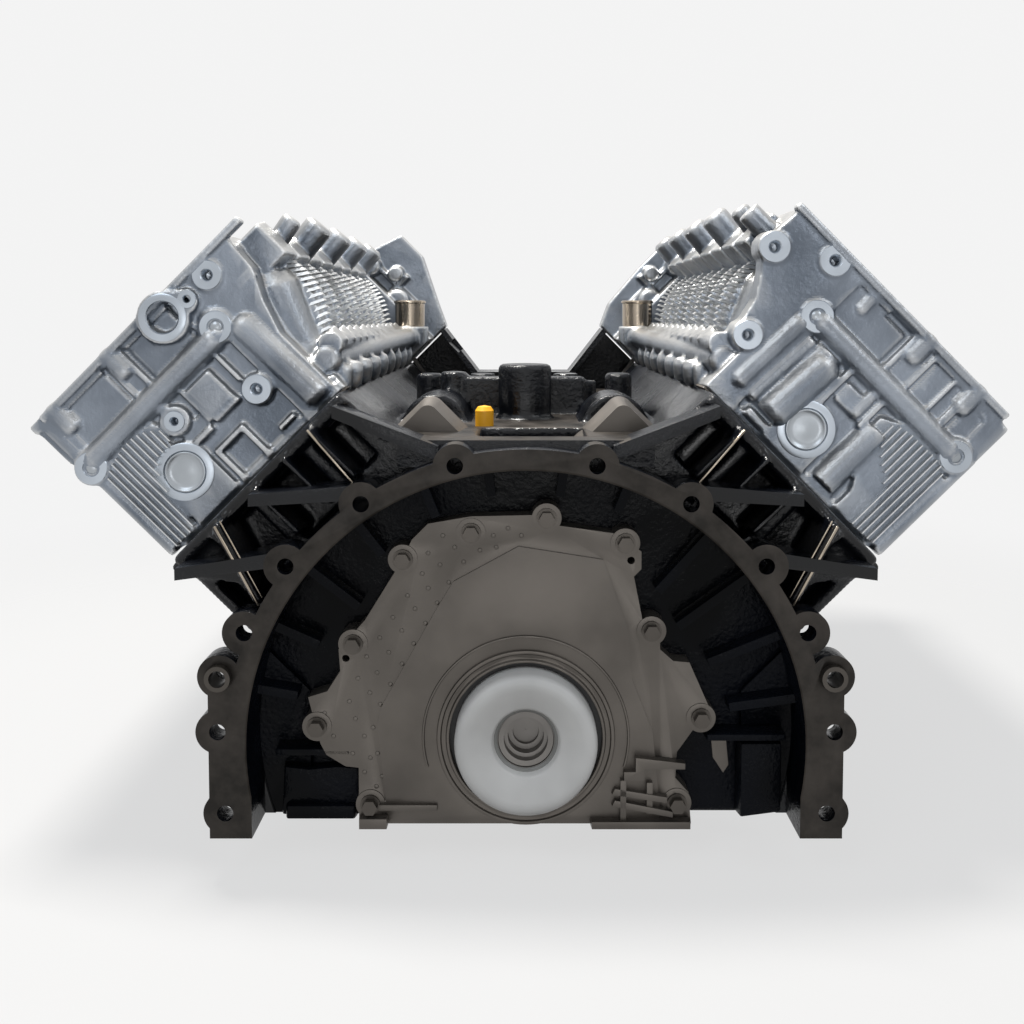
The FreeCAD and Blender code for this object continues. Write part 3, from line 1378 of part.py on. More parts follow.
os.makedirs("parts", exist_ok=True)
for node in NODES:
    shape = found[node].Shape
    shape.exportStep(f"parts/{node}.step")
    print(node, len(shape.Solids), "solids,", round(shape.Volume / 1000), "cm3")
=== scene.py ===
# %% [markdown]
# # A bare eight-cylinder engine, dressed for the camera
# The engine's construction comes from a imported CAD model: every node is already at its real place and
# size, in metres, with the crankshaft along +Y and the clutch flange facing -Y.  This lesson gives those
# parts their finishes, and models the cast and machined detail that a CAD solid leaves out.

# %% Load the frame
import json
import math
import bpy
from mathutils import Matrix, Vector


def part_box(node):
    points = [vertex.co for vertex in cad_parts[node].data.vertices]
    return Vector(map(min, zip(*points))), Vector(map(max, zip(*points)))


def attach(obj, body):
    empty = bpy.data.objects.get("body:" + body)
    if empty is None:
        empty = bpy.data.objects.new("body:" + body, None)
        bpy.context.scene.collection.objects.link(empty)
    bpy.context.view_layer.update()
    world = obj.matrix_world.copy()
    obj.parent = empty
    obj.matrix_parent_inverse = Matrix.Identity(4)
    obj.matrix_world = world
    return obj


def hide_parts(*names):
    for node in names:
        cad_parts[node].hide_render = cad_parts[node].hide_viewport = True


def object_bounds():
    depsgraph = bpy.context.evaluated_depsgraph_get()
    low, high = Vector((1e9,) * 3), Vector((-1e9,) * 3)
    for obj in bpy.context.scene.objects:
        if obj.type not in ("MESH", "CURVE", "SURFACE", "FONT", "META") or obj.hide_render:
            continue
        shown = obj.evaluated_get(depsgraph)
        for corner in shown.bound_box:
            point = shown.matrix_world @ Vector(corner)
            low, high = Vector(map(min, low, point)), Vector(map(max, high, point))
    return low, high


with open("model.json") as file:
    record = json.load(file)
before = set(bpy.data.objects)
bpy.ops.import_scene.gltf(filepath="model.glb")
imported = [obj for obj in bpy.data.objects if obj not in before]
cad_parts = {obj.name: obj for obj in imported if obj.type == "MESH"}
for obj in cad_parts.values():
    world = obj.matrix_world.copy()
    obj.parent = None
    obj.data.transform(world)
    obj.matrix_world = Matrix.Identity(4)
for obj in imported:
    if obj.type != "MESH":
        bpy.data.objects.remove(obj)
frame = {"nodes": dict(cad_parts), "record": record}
cad_box = [[float(v) for v in corner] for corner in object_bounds()]
scene = bpy.context.scene
MM = 0.001
nodes = frame["nodes"]
BODY = "long_block"
print("nodes:", len(nodes), "box:", cad_box)

# %% [markdown]
# ## The camera
# The photograph looks along the crankshaft from just above the heads' middle.  Lines that run along the
# engine meet at one point of the picture, and the width of the known parts gives the distance.  A small tilt
# and a small shift share the picture's height.

# %% Camera
PICTURE = 1024
FOCAL_PIXELS = 1011.3
SHIFT_PIXELS = (-8.1, -142.8)
EYE = Vector((-3.9, -668.7, 285.6)) * MM
SENSOR_MM = 36
TIP_DOWN = math.radians(3)


def point_camera():
    bpy.ops.object.camera_add(location=EYE, rotation=(math.pi / 2 - TIP_DOWN, 0, 0))
    camera = bpy.context.object
    camera.name = "photo_camera"
    lens = camera.data
    lens.sensor_width = SENSOR_MM
    lens.sensor_height = SENSOR_MM
    lens.sensor_fit = "HORIZONTAL"
    lens.lens = SENSOR_MM * FOCAL_PIXELS / PICTURE
    lens.clip_start = 0.01
    lens.clip_end = 50
    lens.shift_x = SHIFT_PIXELS[0] / PICTURE
    lens.shift_y = SHIFT_PIXELS[1] / PICTURE
    scene.camera = camera
    print("lens", round(lens.lens, 2), "mm")


point_camera()

# %% [markdown]
# ## Light and background
# Bright sun from above makes the tops of the heads glare while the faces that look at the camera stay in
# cool open shade.  A small strong lamp stands in for the sun, broad dim ones for the sky.  The floor fades
# into even pale surroundings, so that the picture has no horizon and the shadow stays.

# %% Lights, floor and surroundings
scene.view_settings.view_transform = "Standard"
FLOOR_Z = cad_box[0][2]
MIDDLE = (0, 0.2, 0.15)
PALE = (0.9, 0.9, 0.9, 1)


def add_lamp(name, place, size_x, size_y, watts, colour=(1, 1, 1)):
    """A rectangular lamp that looks at the engine's middle."""
    bpy.ops.object.light_add(type="AREA", location=place)
    lamp = bpy.context.object
    lamp.name = name
    lamp.rotation_euler = (Vector(MIDDLE) - Vector(place)).to_track_quat("-Z", "Y").to_euler()
    lamp.data.shape = "RECTANGLE"
    lamp.data.size = size_x
    lamp.data.size_y = size_y
    lamp.data.energy = watts
    lamp.data.color = colour
    return lamp


add_lamp("sun_lamp", (-0.42, 0.35, 1.9), 0.4, 0.4, 72, (1, 0.97, 0.92))
add_lamp("sky_lamp", (-1.0, -1.5, 1.9), 1.0, 1.0, 9, (0.86, 0.93, 1))
add_lamp("right_lamp", (1.5, -1.0, 1.5), 0.8, 0.8, 6, (0.9, 0.95, 1))
add_lamp("front_lamp", (0.1, -1.9, 0.1), 0.8, 0.3, 2.4)


def seen_directly(tree):
    """One for rays that come from the camera, a mirror or glass, else zero."""
    path = tree.nodes.new("ShaderNodeLightPath")
    total = path.outputs["Is Camera Ray"]
    for name in ("Is Glossy Ray", "Is Transmission Ray"):
        larger = tree.nodes.new("ShaderNodeMath")
        larger.operation = "MAXIMUM"
        tree.links.new(total, larger.inputs[0])
        tree.links.new(path.outputs[name], larger.inputs[1])
        total = larger.outputs[0]
    return total


def set_world():
    """Pale surroundings for what is seen, and a dimmer cool light for what is lit."""
    world = bpy.data.worlds.new("studio")
    scene.world = world
    world.use_nodes = True
    tree = world.node_tree
    out = tree.nodes["World Output"]
    light = tree.nodes["Background"]
    light.inputs["Color"].default_value = (0.92, 0.955, 1.0, 1)
    light.inputs["Strength"].default_value = 0.42
    pale = tree.nodes.new("ShaderNodeBackground")
    pale.inputs["Color"].default_value = PALE
    pale.inputs["Strength"].default_value = 1.0
    mix = tree.nodes.new("ShaderNodeMixShader")
    tree.links.new(seen_directly(tree), mix.inputs["Fac"])
    tree.links.new(light.outputs[0], mix.inputs[1])
    tree.links.new(pale.outputs[0], mix.inputs[2])
    tree.links.new(mix.outputs[0], out.inputs["Surface"])


set_world()

FADE_FROM = 0.55
FADE_TO = 1.3
FLOOR_REACH = 1.4


def ground_material():
    """Pale ground that takes the shadow near the engine and melts into the surroundings further out."""
    material = bpy.data.materials.new("pale_ground")
    material.use_nodes = True
    tree = material.node_tree
    tree.nodes.clear()
    out = tree.nodes.new("ShaderNodeOutputMaterial")
    plain = tree.nodes.new("ShaderNodeBsdfDiffuse")
    plain.inputs["Color"].default_value = (0.133, 0.133, 0.133, 1)
    glow = tree.nodes.new("ShaderNodeEmission")
    glow.inputs["Color"].default_value = PALE
    glow.inputs["Strength"].default_value = 0.72
    both = tree.nodes.new("ShaderNodeAddShader")
    seen = tree.nodes.new("ShaderNodeMixShader")
    clear = tree.nodes.new("ShaderNodeBsdfTransparent")
    place = tree.nodes.new("ShaderNodeTexCoord")
    shifted = tree.nodes.new("ShaderNodeVectorMath")
    shifted.operation = "SUBTRACT"
    shifted.inputs[1].default_value = (0, MIDDLE[1], FLOOR_Z)
    reach = tree.nodes.new("ShaderNodeVectorMath")
    reach.operation = "LENGTH"
    fade = tree.nodes.new("ShaderNodeMapRange")
    fade.interpolation_type = "SMOOTHSTEP"
    fade.inputs["From Min"].default_value = FADE_FROM
    fade.inputs["From Max"].default_value = FADE_TO
    whole = tree.nodes.new("ShaderNodeMixShader")
    tree.links.new(plain.outputs[0], both.inputs[0])
    tree.links.new(glow.outputs[0], both.inputs[1])
    tree.links.new(seen_directly(tree), seen.inputs["Fac"])
    tree.links.new(plain.outputs[0], seen.inputs[1])
    tree.links.new(both.outputs[0], seen.inputs[2])
    tree.links.new(place.outputs["Object"], shifted.inputs[0])
    tree.links.new(shifted.outputs["Vector"], reach.inputs[0])
    tree.links.new(reach.outputs["Value"], fade.inputs["Value"])
    tree.links.new(fade.outputs["Result"], whole.inputs["Fac"])
    tree.links.new(seen.outputs[0], whole.inputs[1])
    tree.links.new(clear.outputs[0], whole.inputs[2])
    tree.links.new(whole.outputs[0], out.inputs["Surface"])
    return material


def add_ground():
    bpy.ops.object.select_all(action="DESELECT")
    bpy.ops.mesh.primitive_circle_add(vertices=64, radius=FLOOR_REACH, fill_type="NGON",
                                      location=(0, MIDDLE[1], FLOOR_Z))
    floor = bpy.context.object
    floor.name = "ground"
    bpy.ops.object.transform_apply(location=True, rotation=True, scale=True)
    floor.data.materials.append(ground_material())


add_ground()

# %% [markdown]
# ## Finishes
# Each finish is a small node tree on Object coordinates, which are the engine's own metres here because
# every finished object stands at the origin.  A helper builds the shared skeleton: a noise that breaks up
# colour and roughness, and a bump at the scale of the real surface, so each finish only states numbers.

# %% Finish helper


class Finish:
    """A material and the handful of node shortcuts that the finishes below share."""

    def __init__(self, name, colour, roughness, metallic=0.0):
        self.material = bpy.data.materials.new(name)
        self.material.use_nodes = True
        self.tree = self.material.node_tree
        self.shader = self.tree.nodes["Principled BSDF"]
        self.shader.inputs["Base Color"].default_value = (*colour, 1)
        self.shader.inputs["Roughness"].default_value = roughness
        self.shader.inputs["Metallic"].default_value = metallic
        self.place = self.tree.nodes.new("ShaderNodeTexCoord").outputs["Object"]
        self.normal = None

    def link(self, source, target):
        self.tree.links.new(source, target)

    def noise(self, per_metre, detail=3.0, rough=0.55, stretch=None):
        """Noise with so many cells to the metre; stretch scales the axes for brushed or turned marks."""
        node = self.tree.nodes.new("ShaderNodeTexNoise")
        node.inputs["Scale"].default_value = per_metre
        node.inputs["Detail"].default_value = detail
        node.inputs["Roughness"].default_value = rough
        source = self.place
        if stretch:
            mapping = self.tree.nodes.new("ShaderNodeMapping")
            mapping.inputs["Scale"].default_value = stretch
            self.link(self.place, mapping.inputs["Vector"])
            source = mapping.outputs["Vector"]
        self.link(source, node.inputs["Vector"])
        return node.outputs["Fac"]

    def ramp(self, value, low, high, start=0.0, end=1.0):
        """Maps a value from low..high to start..end."""
        node = self.tree.nodes.new("ShaderNodeMapRange")
        node.inputs["From Min"].default_value = low
        node.inputs["From Max"].default_value = high
        node.inputs["To Min"].default_value = start
        node.inputs["To Max"].default_value = end
        self.link(value, node.inputs["Value"])
        return node.outputs["Result"]

    def math(self, kind, first, second=None):
        node = self.tree.nodes.new("ShaderNodeMath")
        node.operation = kind
        for index, value in enumerate((first, second)):
            if value is None:
                continue
            if isinstance(value, (int, float)):
                node.inputs[index].default_value = value
            else:
                self.link(value, node.inputs[index])
        return node.outputs[0]

    def blend(self, share, first, second):
        """Colour mix; a colour is three numbers or a socket."""
        node = self.tree.nodes.new("ShaderNodeMix")
        node.data_type = "RGBA"
        self.link(share, node.inputs["Factor"])
        for name, value in (("A", first), ("B", second)):
            socket = [item for item in node.inputs if item.name == name and item.type == "RGBA"][0]
            if isinstance(value, tuple):
                socket.default_value = (*value, 1)
            else:
                self.link(value, socket)
        return [item for item in node.outputs if item.type == "RGBA"][0]

    def bump(self, height, depth_mm, strength=1.0):
        """Adds a bump whose full height is so many millimetres."""
        node = self.tree.nodes.new("ShaderNodeBump")
        node.inputs["Strength"].default_value = strength
        node.inputs["Distance"].default_value = depth_mm * MM
        self.link(height, node.inputs["Height"])
        if self.normal:
            self.link(self.normal, node.inputs["Normal"])
        self.normal = node.outputs["Normal"]
        self.link(self.normal, self.shader.inputs["Normal"])

    def colour(self, socket):
        self.link(socket, self.shader.inputs["Base Color"])

    def roughness(self, socket):
        self.link(socket, self.shader.inputs["Roughness"])

    def level(self, socket):
        self.link(socket, self.shader.inputs["Specular IOR Level"])

    def metallic(self, socket):
        self.link(socket, self.shader.inputs["Metallic"])

    def axis(self, name):
        """One coordinate of the surface point, in metres."""
        node = self.tree.nodes.new("ShaderNodeSeparateXYZ")
        self.link(self.place, node.inputs[0])
        return node.outputs[name]

    def facing(self, name):
        """One component of the true surface normal."""
        geometry = self.tree.nodes.new("ShaderNodeNewGeometry")
        node = self.tree.nodes.new("ShaderNodeSeparateXYZ")
        self.link(geometry.outputs["True Normal"], node.inputs[0])
        return node.outputs[name]

    def edges(self, soft, sharp):
        """Rises on outside edges, from the mesh's own pointiness."""
        geometry = self.tree.nodes.new("ShaderNodeNewGeometry")
        return self.ramp(geometry.outputs["Pointiness"], soft, sharp)


# %% [markdown]
# ## Black paint over cast iron
# The block is sprayed black straight over the sand-cast skin.  The paint levels the finest grain, so the bump
# is a mix of a soft 20 mm swell and a patchy coarse sand texture.  The clutch face and the valley shelf were
# milled after painting, and show dark raw iron.  Inside the clutch housing the paint reflects less: painted
# shade.

# %% Block paint
BELL_FACE_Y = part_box("clutch_housing_flange")[0].y
SHELF_Z = 203 * MM
CUT_DEPTH = 1.5 * MM
FACE_SLACK = 1 * MM
BELL_ROOM = 186 * MM
BELL_DEPTH = 60 * MM
OPEN_GLOSS = 0.34
BELL_PAINTED_SHADE_GLOSS = 0.07


def inside_bell(finish):
    """One within the clutch housing, whose hollow gets painted shade through a lower reflection, else zero.
    """
    across = finish.axis("X")
    up = finish.axis("Z")
    squares = [finish.math("MULTIPLY", value, value) for value in (across, up)]
    reach = finish.math("SQRT", finish.math("ADD", *squares))
    near = finish.math("LESS_THAN", reach, BELL_ROOM)
    front = finish.math("LESS_THAN", finish.axis("Y"), BELL_DEPTH)
    return finish.math("MULTIPLY", near, front)


def block_paint():
    finish = Finish("black_cast_iron", (0.004, 0.0045, 0.006), 0.2)
    sand = finish.noise(330, 3, 0.6)
    lumps = finish.noise(60, 2, 0.5)
    patches = finish.noise(11, 2, 0.5)
    grain = finish.math("MULTIPLY", finish.ramp(sand, 0.3, 0.75), finish.ramp(patches, 0.38, 0.6, 0.15, 1.0))
    paint_rough = finish.ramp(patches, 0.35, 0.65, 0.12, 0.34)
    at_rear = finish.math("LESS_THAN", finish.axis("Y"), BELL_FACE_Y + FACE_SLACK)
    to_rear = finish.math("LESS_THAN", finish.facing("Y"), -0.9)
    rear = finish.math("MULTIPLY", at_rear, to_rear)
    low = finish.math("GREATER_THAN", finish.axis("Z"), SHELF_Z - CUT_DEPTH)
    high = finish.math("LESS_THAN", finish.axis("Z"), SHELF_Z + CUT_DEPTH)
    up = finish.math("GREATER_THAN", finish.facing("Z"), 0.9)
    shelf = finish.math("MULTIPLY", finish.math("MULTIPLY", low, high), up)
    bare = finish.math("MAXIMUM", rear, shelf)
    stain = finish.noise(34, 4, 0.6)
    raw = finish.blend(finish.ramp(stain, 0.35, 0.68), (0.014, 0.012, 0.01), (0.052, 0.045, 0.039))
    black = finish.blend(finish.ramp(patches, 0.35, 0.65), (0.0015, 0.0018, 0.0026), (0.004, 0.005, 0.008))
    finish.colour(finish.blend(bare, black, raw))
    raw_rough = finish.ramp(stain, 0.3, 0.7, 0.34, 0.6)
    painted = finish.math("SUBTRACT", 1.0, bare)
    finish.roughness(finish.math("ADD", finish.math("MULTIPLY", paint_rough, painted),
                                 finish.math("MULTIPLY", raw_rough, bare)))
    finish.metallic(finish.math("MULTIPLY", bare, 0.5))
    # Less reflection inside the clutch housing: painted shade in that hollow.
    finish.level(finish.ramp(inside_bell(finish), 0, 1, OPEN_GLOSS, BELL_PAINTED_SHADE_GLOSS))
    height = finish.math("MULTIPLY", grain, finish.ramp(bare, 0, 1, 1.0, 0.12))
    finish.bump(lumps, 1.6, 0.35)
    finish.bump(height, 0.6, 0.9)
    return finish.material


# %% [markdown]
# ## Blasted aluminium
# The heads were cleaned with fine glass beads: a matt grey skin with an even grain of about half a
# millimetre, mottled in broad random clouds.  Its cool blue cast is a painted sky reflection, faces that look
# up are painted lighter and warmer as sunlit tops, and edges are painted light as highlights.  The broad flat
# end has no edge of its own, so it gets no painted edge highlight and stays even.

# %% Head metal


# The cool blue in tint and shade is a painted sky reflection over the metal's own grey.
def head_metal(name, tint=(0.25, 0.28, 0.325), shade=(0.12, 0.14, 0.17)):
    finish = Finish(name, tint, 0.4, metallic=0.9)
    grain = finish.noise(900, 2, 0.6)
    sand = finish.noise(260, 3, 0.55)
    cloud = finish.noise(14, 3, 0.55)
    base = finish.blend(finish.ramp(cloud, 0.35, 0.68), shade, tint)
    # Faces that look up blend towards a light warm grey: painted sunlight on the tops.
    up = finish.ramp(finish.facing("Z"), 0.1, 0.75)
    painted_sunlit_tops = finish.blend(finish.math("MULTIPLY", up, 0.85), base, (0.56, 0.55, 0.53))
    # Edges blend towards near-white: a painted highlight, kept off the broad flat end.
    broad_end = finish.math("GREATER_THAN", finish.facing("Y"), 0.95)
    painted_highlight_share = finish.ramp(broad_end, 0, 1, 0.65, 0)
    edge = finish.math("MULTIPLY", finish.edges(0.505, 0.56), painted_highlight_share)
    finish.colour(finish.blend(edge, painted_sunlit_tops, (0.8, 0.8, 0.79)))
    finish.roughness(finish.ramp(cloud, 0.3, 0.7, 0.28, 0.42))
    finish.bump(sand, 0.7, 0.7)
    finish.bump(grain, 0.2, 0.6)
    return finish.material


def machined(name, tint, roughness=0.3, metallic=1.0, marks=(1, 1, 1), per_metre=700, depth_mm=0.05):
    """Cut metal: fine marks, stretched along the cut where marks asks for it."""
    finish = Finish(name, tint, roughness, metallic=metallic)
    lines = finish.noise(per_metre, 3, 0.6, marks)
    cloud = finish.noise(22, 3, 0.5)
    dark = tuple(part * 0.72 for part in tint)
    finish.colour(finish.blend(finish.ramp(cloud, 0.35, 0.7), dark, tint))
    finish.roughness(finish.ramp(cloud, 0.3, 0.7, roughness * 0.85, roughness * 1.25))
    finish.bump(lines, depth_mm, 0.5)
    return finish.material


def soft_plain(name, tint, roughness, grain_mm=0.08, per_metre=600):
    """Rubber and moulded plastic: one colour with a faint mottle and a fine skin."""
    finish = Finish(name, tint, roughness)
    skin = finish.noise(per_metre, 3, 0.6)
    cloud = finish.noise(30, 2, 0.5)
    dark = tuple(part * 0.85 for part in tint)
    finish.colour(finish.blend(finish.ramp(cloud, 0.3, 0.7), dark, tint))
    finish.bump(skin, grain_mm, 0.5)
    return finish.material


# %% [markdown]
# ## Which finish goes on which node
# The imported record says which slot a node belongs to, so one dictionary from slot to material dresses
# every CAD node, and each new piece can ask for the same slot later.

# %% Dress the CAD nodes
FINISHES = {
    "cast_iron_black": block_paint(),
    "bare_iron": machined("bare_iron", (0.16, 0.145, 0.13), 0.5, 0.8),
    "carrier_aluminium": machined("carrier_metal", (0.135, 0.122, 0.109), 0.4, 0.85, per_metre=160,
                                  depth_mm=0.12),
    "head_aluminium": head_metal("blasted_head"),
    "cap_aluminium": machined("cap_metal", (0.5, 0.5, 0.51), 0.35),
    "piston_aluminium": machined("piston_metal", (0.62, 0.62, 0.62), 0.28, marks=(1, 1, 6)),
    "seal_rubber": soft_plain("seal_rubber", (0.012, 0.012, 0.013), 0.45),
    "sleeve_plastic": soft_plain("sleeve_plastic", (0.7, 0.69, 0.67), 0.42),
    "cap_plastic": soft_plain("cap_plastic", (0.9, 0.42, 0.01), 0.4),
    "bolt_steel": machined("bolt_steel", (0.1, 0.09, 0.08), 0.36, 0.9),
    "bearing_metal": machined("bearing_metal", (0.5, 0.48, 0.45), 0.3),
    "valve_steel": machined("valve_steel", (0.42, 0.41, 0.4), 0.3),
    "spring_steel": machined("spring_steel", (0.12, 0.12, 0.13), 0.35),
    "plug_steel": machined("plug_steel", (0.42, 0.45, 0.48), 0.3),
    "chain_steel": machined("chain_steel", (0.2, 0.19, 0.18), 0.35),
    "forged_steel": machined("forged_steel", (0.2, 0.19, 0.18), 0.38, 0.95),
    "gasket_steel": machined("gasket_steel", (0.2, 0.18, 0.16), 0.5),
    "stub_steel": machined("stub_steel", (0.42, 0.36, 0.29), 0.2),
    "cam_iron": machined("cam_iron", (0.09, 0.085, 0.08), 0.35, 0.9),
    "pin_steel": machined("pin_steel", (0.6, 0.6, 0.6), 0.2),
}
FINISHES["cover_black"] = FINISHES["cast_iron_black"]
# Bright cut aluminium; its cool blue is a painted sky reflection.
BOSS_FACE = machined("boss_face", (0.52, 0.57, 0.63), 0.3, marks=(1, 8, 1))


def dress(obj, slot):
    obj.data.materials.clear()
    obj.data.materials.append(FINISHES[slot])


SLOT_OF = {part["node"]: part["material_slot"] for part in frame["record"]["subparts"]}
for node_name, node_object in nodes.items():
    dress(node_object, SLOT_OF[node_name])
print("dressed", len(SLOT_OF), "nodes in", len(FINISHES), "finishes")

# %% [markdown]
# ## Shaping tools
# Every new piece starts as one flat shape and is pulled, scaled and joined into its form.  The tools work in
# millimetres.  A bank leans 45 degrees to its side: t runs across the bank towards the outside, up rises
# from the gasket, and the camera looks along +Y at the rear face.

# %% Shaping tools
RIGHT, LEFT = 1, -1
LUMP_SUNK = 2
SIDE_NAME = {RIGHT: "right", LEFT: "left"}
SEAT = 257.6
FACE_Y = 56
QUARTER = math.pi / 2
LEAN = {side: Matrix.Rotation(side * QUARTER / 2, 4, "Y") for side in (RIGHT, LEFT)}
TO_REAR = Matrix.Rotation(QUARTER, 4, "X")


def only(*objects):
    """Selects these objects alone."""
    bpy.ops.object.select_all(action="DESELECT")
    for obj in objects:
        obj.select_set(True)
    bpy.context.view_layer.objects.active = objects[0]


def settle(obj, matrix):
    """Puts a piece in its place and bakes the place into its mesh."""
    obj.matrix_world = matrix
    only(obj)
    bpy.ops.object.transform_apply(location=True, rotation=True, scale=True)
    return obj


def join(pieces, name):
    only(*pieces)
    if len(pieces) > 1:
        bpy.ops.object.join()
    joined = bpy.context.object
    joined.name = name
    joined.data.name = name
    return joined


def use(obj, kind, **settings):
    """Adds one modifier, sets it and applies it."""
    only(obj)
    bpy.ops.object.modifier_add(type=kind)
    modifier = obj.modifiers[-1]
    for key, value in settings.items():
        setattr(modifier, key, value)
    bpy.ops.object.modifier_apply(modifier=modifier.name)
    return obj


def pull(depth, width=1.0):
    """Extrudes what is selected along Z and scales the new end."""
    bpy.ops.mesh.extrude_region_move(TRANSFORM_OT_translate={"value": (0, 0, depth * MM)})
    if width != 1.0:
        bpy.ops.transform.resize(value=(width, width, 1))


def close_up(solid=True):
    bpy.ops.mesh.select_all(action="SELECT")
    if solid:
        bpy.ops.mesh.normals_make_consistent(inside=False)
    bpy.ops.object.mode_set(mode="OBJECT")
    return bpy.context.object


def turned(profile, sides=24, solid=True):
    """Rings (height, radius) laid one after another along Z; solid ends are closed."""
    height, radius = profile[0]
    bpy.ops.object.select_all(action="DESELECT")
    bpy.ops.mesh.primitive_circle_add(vertices=sides, radius=radius * MM,
                                      fill_type="NGON" if solid else "NOTHING")
    bpy.ops.object.mode_set(mode="EDIT")
    bpy.ops.mesh.select_all(action="SELECT")
    bpy.ops.transform.translate(value=(0, 0, height * MM))
    for next_height, next_radius in profile[1:]:
        pull(next_height - height, next_radius / radius)
        height, radius = next_height, next_radius
    return close_up()


def rod(start, end, radius, sides=20, nose=0.45):
    """A round bar with softened ends between two points given in metres."""
    start, end = Vector(start), Vector(end)
    length = (end - start).length / MM
    soft = min(radius * nose, length * 0.3)
    tip = radius * 0.72
    piece = turned([(0, tip), (soft, radius), (length - soft, radius), (length, tip)], sides)
    turn = (end - start).to_track_quat("Z", "Y").to_matrix().to_4x4()
    return settle(piece, Matrix.Translation(start) @ turn)


def bank_point(side, t, y, up):
    return LEAN[side] @ (Vector((t * side, y, SEAT + up)) * MM)


def bank_rod(side, first, last, radius, sides=20, nose=0.45):
    """A round bar between two places (t, y, up) of a bank."""
    return rod(bank_point(side, *first), bank_point(side, *last), radius, sides, nose)


def rear_frame(side, t, up, y):
    """A place on a rear face: X across the bank, Y up the bank, Z out towards the camera."""
    return LEAN[side] @ Matrix.Translation(Vector((t * side, y, SEAT + up)) * MM) @ TO_REAR


def lump(side, t0, t1, up0, up1, base, front, draft=0.86):
    """A drafted casting block on a bank, pulled from y = base towards the camera to y = front."""
    wide, tall = abs(t1 - t0), abs(up1 - up0)
    bpy.ops.object.select_all(action="DESELECT")
    bpy.ops.mesh.primitive_plane_add(size=MM)
    bpy.ops.object.mode_set(mode="EDIT")
    bpy.ops.mesh.select_all(action="SELECT")
    bpy.ops.transform.resize(value=(wide, tall, 1))
    pull(base - front)
    inset = min(wide, tall) * (1 - draft)
    bpy.ops.transform.resize(value=((wide - inset) / wide, (tall - inset) / tall, 1))
    return settle(close_up(), rear_frame(side, (t0 + t1) / 2, (up0 + up1) / 2, base))


def peg(side, t, up, base, front, radius, hole=5.0, sides=28):
    """A round cast boss on a bank with a cored hole and its end rounded over."""
    depth = base - front
    outside = [(0, radius), (depth - radius * 0.12, radius * 0.95), (depth, radius * 0.85)]
    piece = turned(outside + [(depth, hole), (0, hole), (0, radius)], sides, solid=False)
    bpy.ops.object.mode_set(mode="EDIT")
    bpy.ops.mesh.select_all(action="SELECT")
    bpy.ops.mesh.remove_doubles(threshold=0.00001)
    close_up()
    return settle(piece, rear_frame(side, t, up, base))


def outlined(outline, depth, draft, side=RIGHT):
    """A flat piece of any outline about its own middle, pulled along Z, and where that middle is."""
    bpy.ops.object.select_all(action="DESELECT")
    bpy.ops.mesh.primitive_circle_add(vertices=len(outline), radius=MM, fill_type="NGON")
    obj = bpy.context.object
    middle = Vector((sum(across for across, _ in outline), sum(up for _, up in outline))) / len(outline)
    for vertex, (across, up) in zip(obj.data.vertices, outline):
        vertex.co = Vector(((across - middle.x) * side, up - middle.y, 0)) * MM
    bpy.ops.object.mode_set(mode="EDIT")
    bpy.ops.mesh.select_all(action="SELECT")
    pull(depth, draft)
    return close_up(), middle


def plate(side, outline, base, front, draft=0.97):
    """A flat casting of any outline (t, up) on a bank."""
    piece, middle = outlined(outline, base - front, draft, side)
    return settle(piece, rear_frame(side, middle.x, middle.y, base))


def series(piece, steps):
    """Copies of one piece, each moved by its own step in metres; the first one stays."""
    made = [piece]
    for step in steps:
        twin = piece.copy()
        twin.data = piece.data.copy()
        scene.collection.objects.link(twin)
        made.append(settle(twin, Matrix.Translation(Vector(step))))
    return made


def copy_node(name):
    """A welded copy of a CAD node's mesh."""
    source = nodes[name]
    twin = bpy.data.objects.new(name + "_copy", source.data.copy())
    scene.collection.objects.link(twin)
    twin.matrix_world = source.matrix_world.copy()
    only(twin)
    bpy.ops.object.transform_apply(location=True, rotation=True, scale=True)
    bpy.ops.object.mode_set(mode="EDIT")
    bpy.ops.mesh.select_all(action="SELECT")
    bpy.ops.mesh.remove_doubles(threshold=0.00001)
    bpy.ops.object.mode_set(mode="OBJECT")
    return twin


def triangles(obj):
    return sum(len(polygon.vertices) - 2 for polygon in obj.data.polygons)


def finish_piece(obj, slot, body=BODY, smooth=None, stands_for=()):
    """Shades and dresses a finished piece, hands it to its body and hides the nodes it stands for."""
    only(obj)
    if smooth is None:
        bpy.ops.object.shade_smooth()
    else:
        bpy.ops.object.shade_smooth_by_angle(angle=math.radians(smooth))
    dress(obj, slot)
    if stands_for:
        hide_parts(*stands_for)
    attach(obj, body)
    print(obj.name, triangles(obj), "triangles")
    return obj


def cast_skin(name, sources, added, cell, passes, most, slot):
    """One soft sand-cast skin over welded copies of CAD nodes and the lumps added to them."""
    body = join([copy_node(source) for source in sources] + added, name)
    use(body, "REMESH", mode="VOXEL", voxel_size=cell * MM)
    use(body, "SMOOTH", factor=0.5, iterations=passes)
    count = triangles(body)
    if count > most:
        use(body, "DECIMATE", ratio=most / count)
    return finish_piece(body, slot, stands_for=sources)


# %% [markdown]
# ## The heads' cast detail
# The rear face of each head is a map of pads, ribs, cooling fins, a gallery tube and bolt bosses.  Each list
# row is one lump: where it starts and ends across the bank and up it, and how far it stands out.

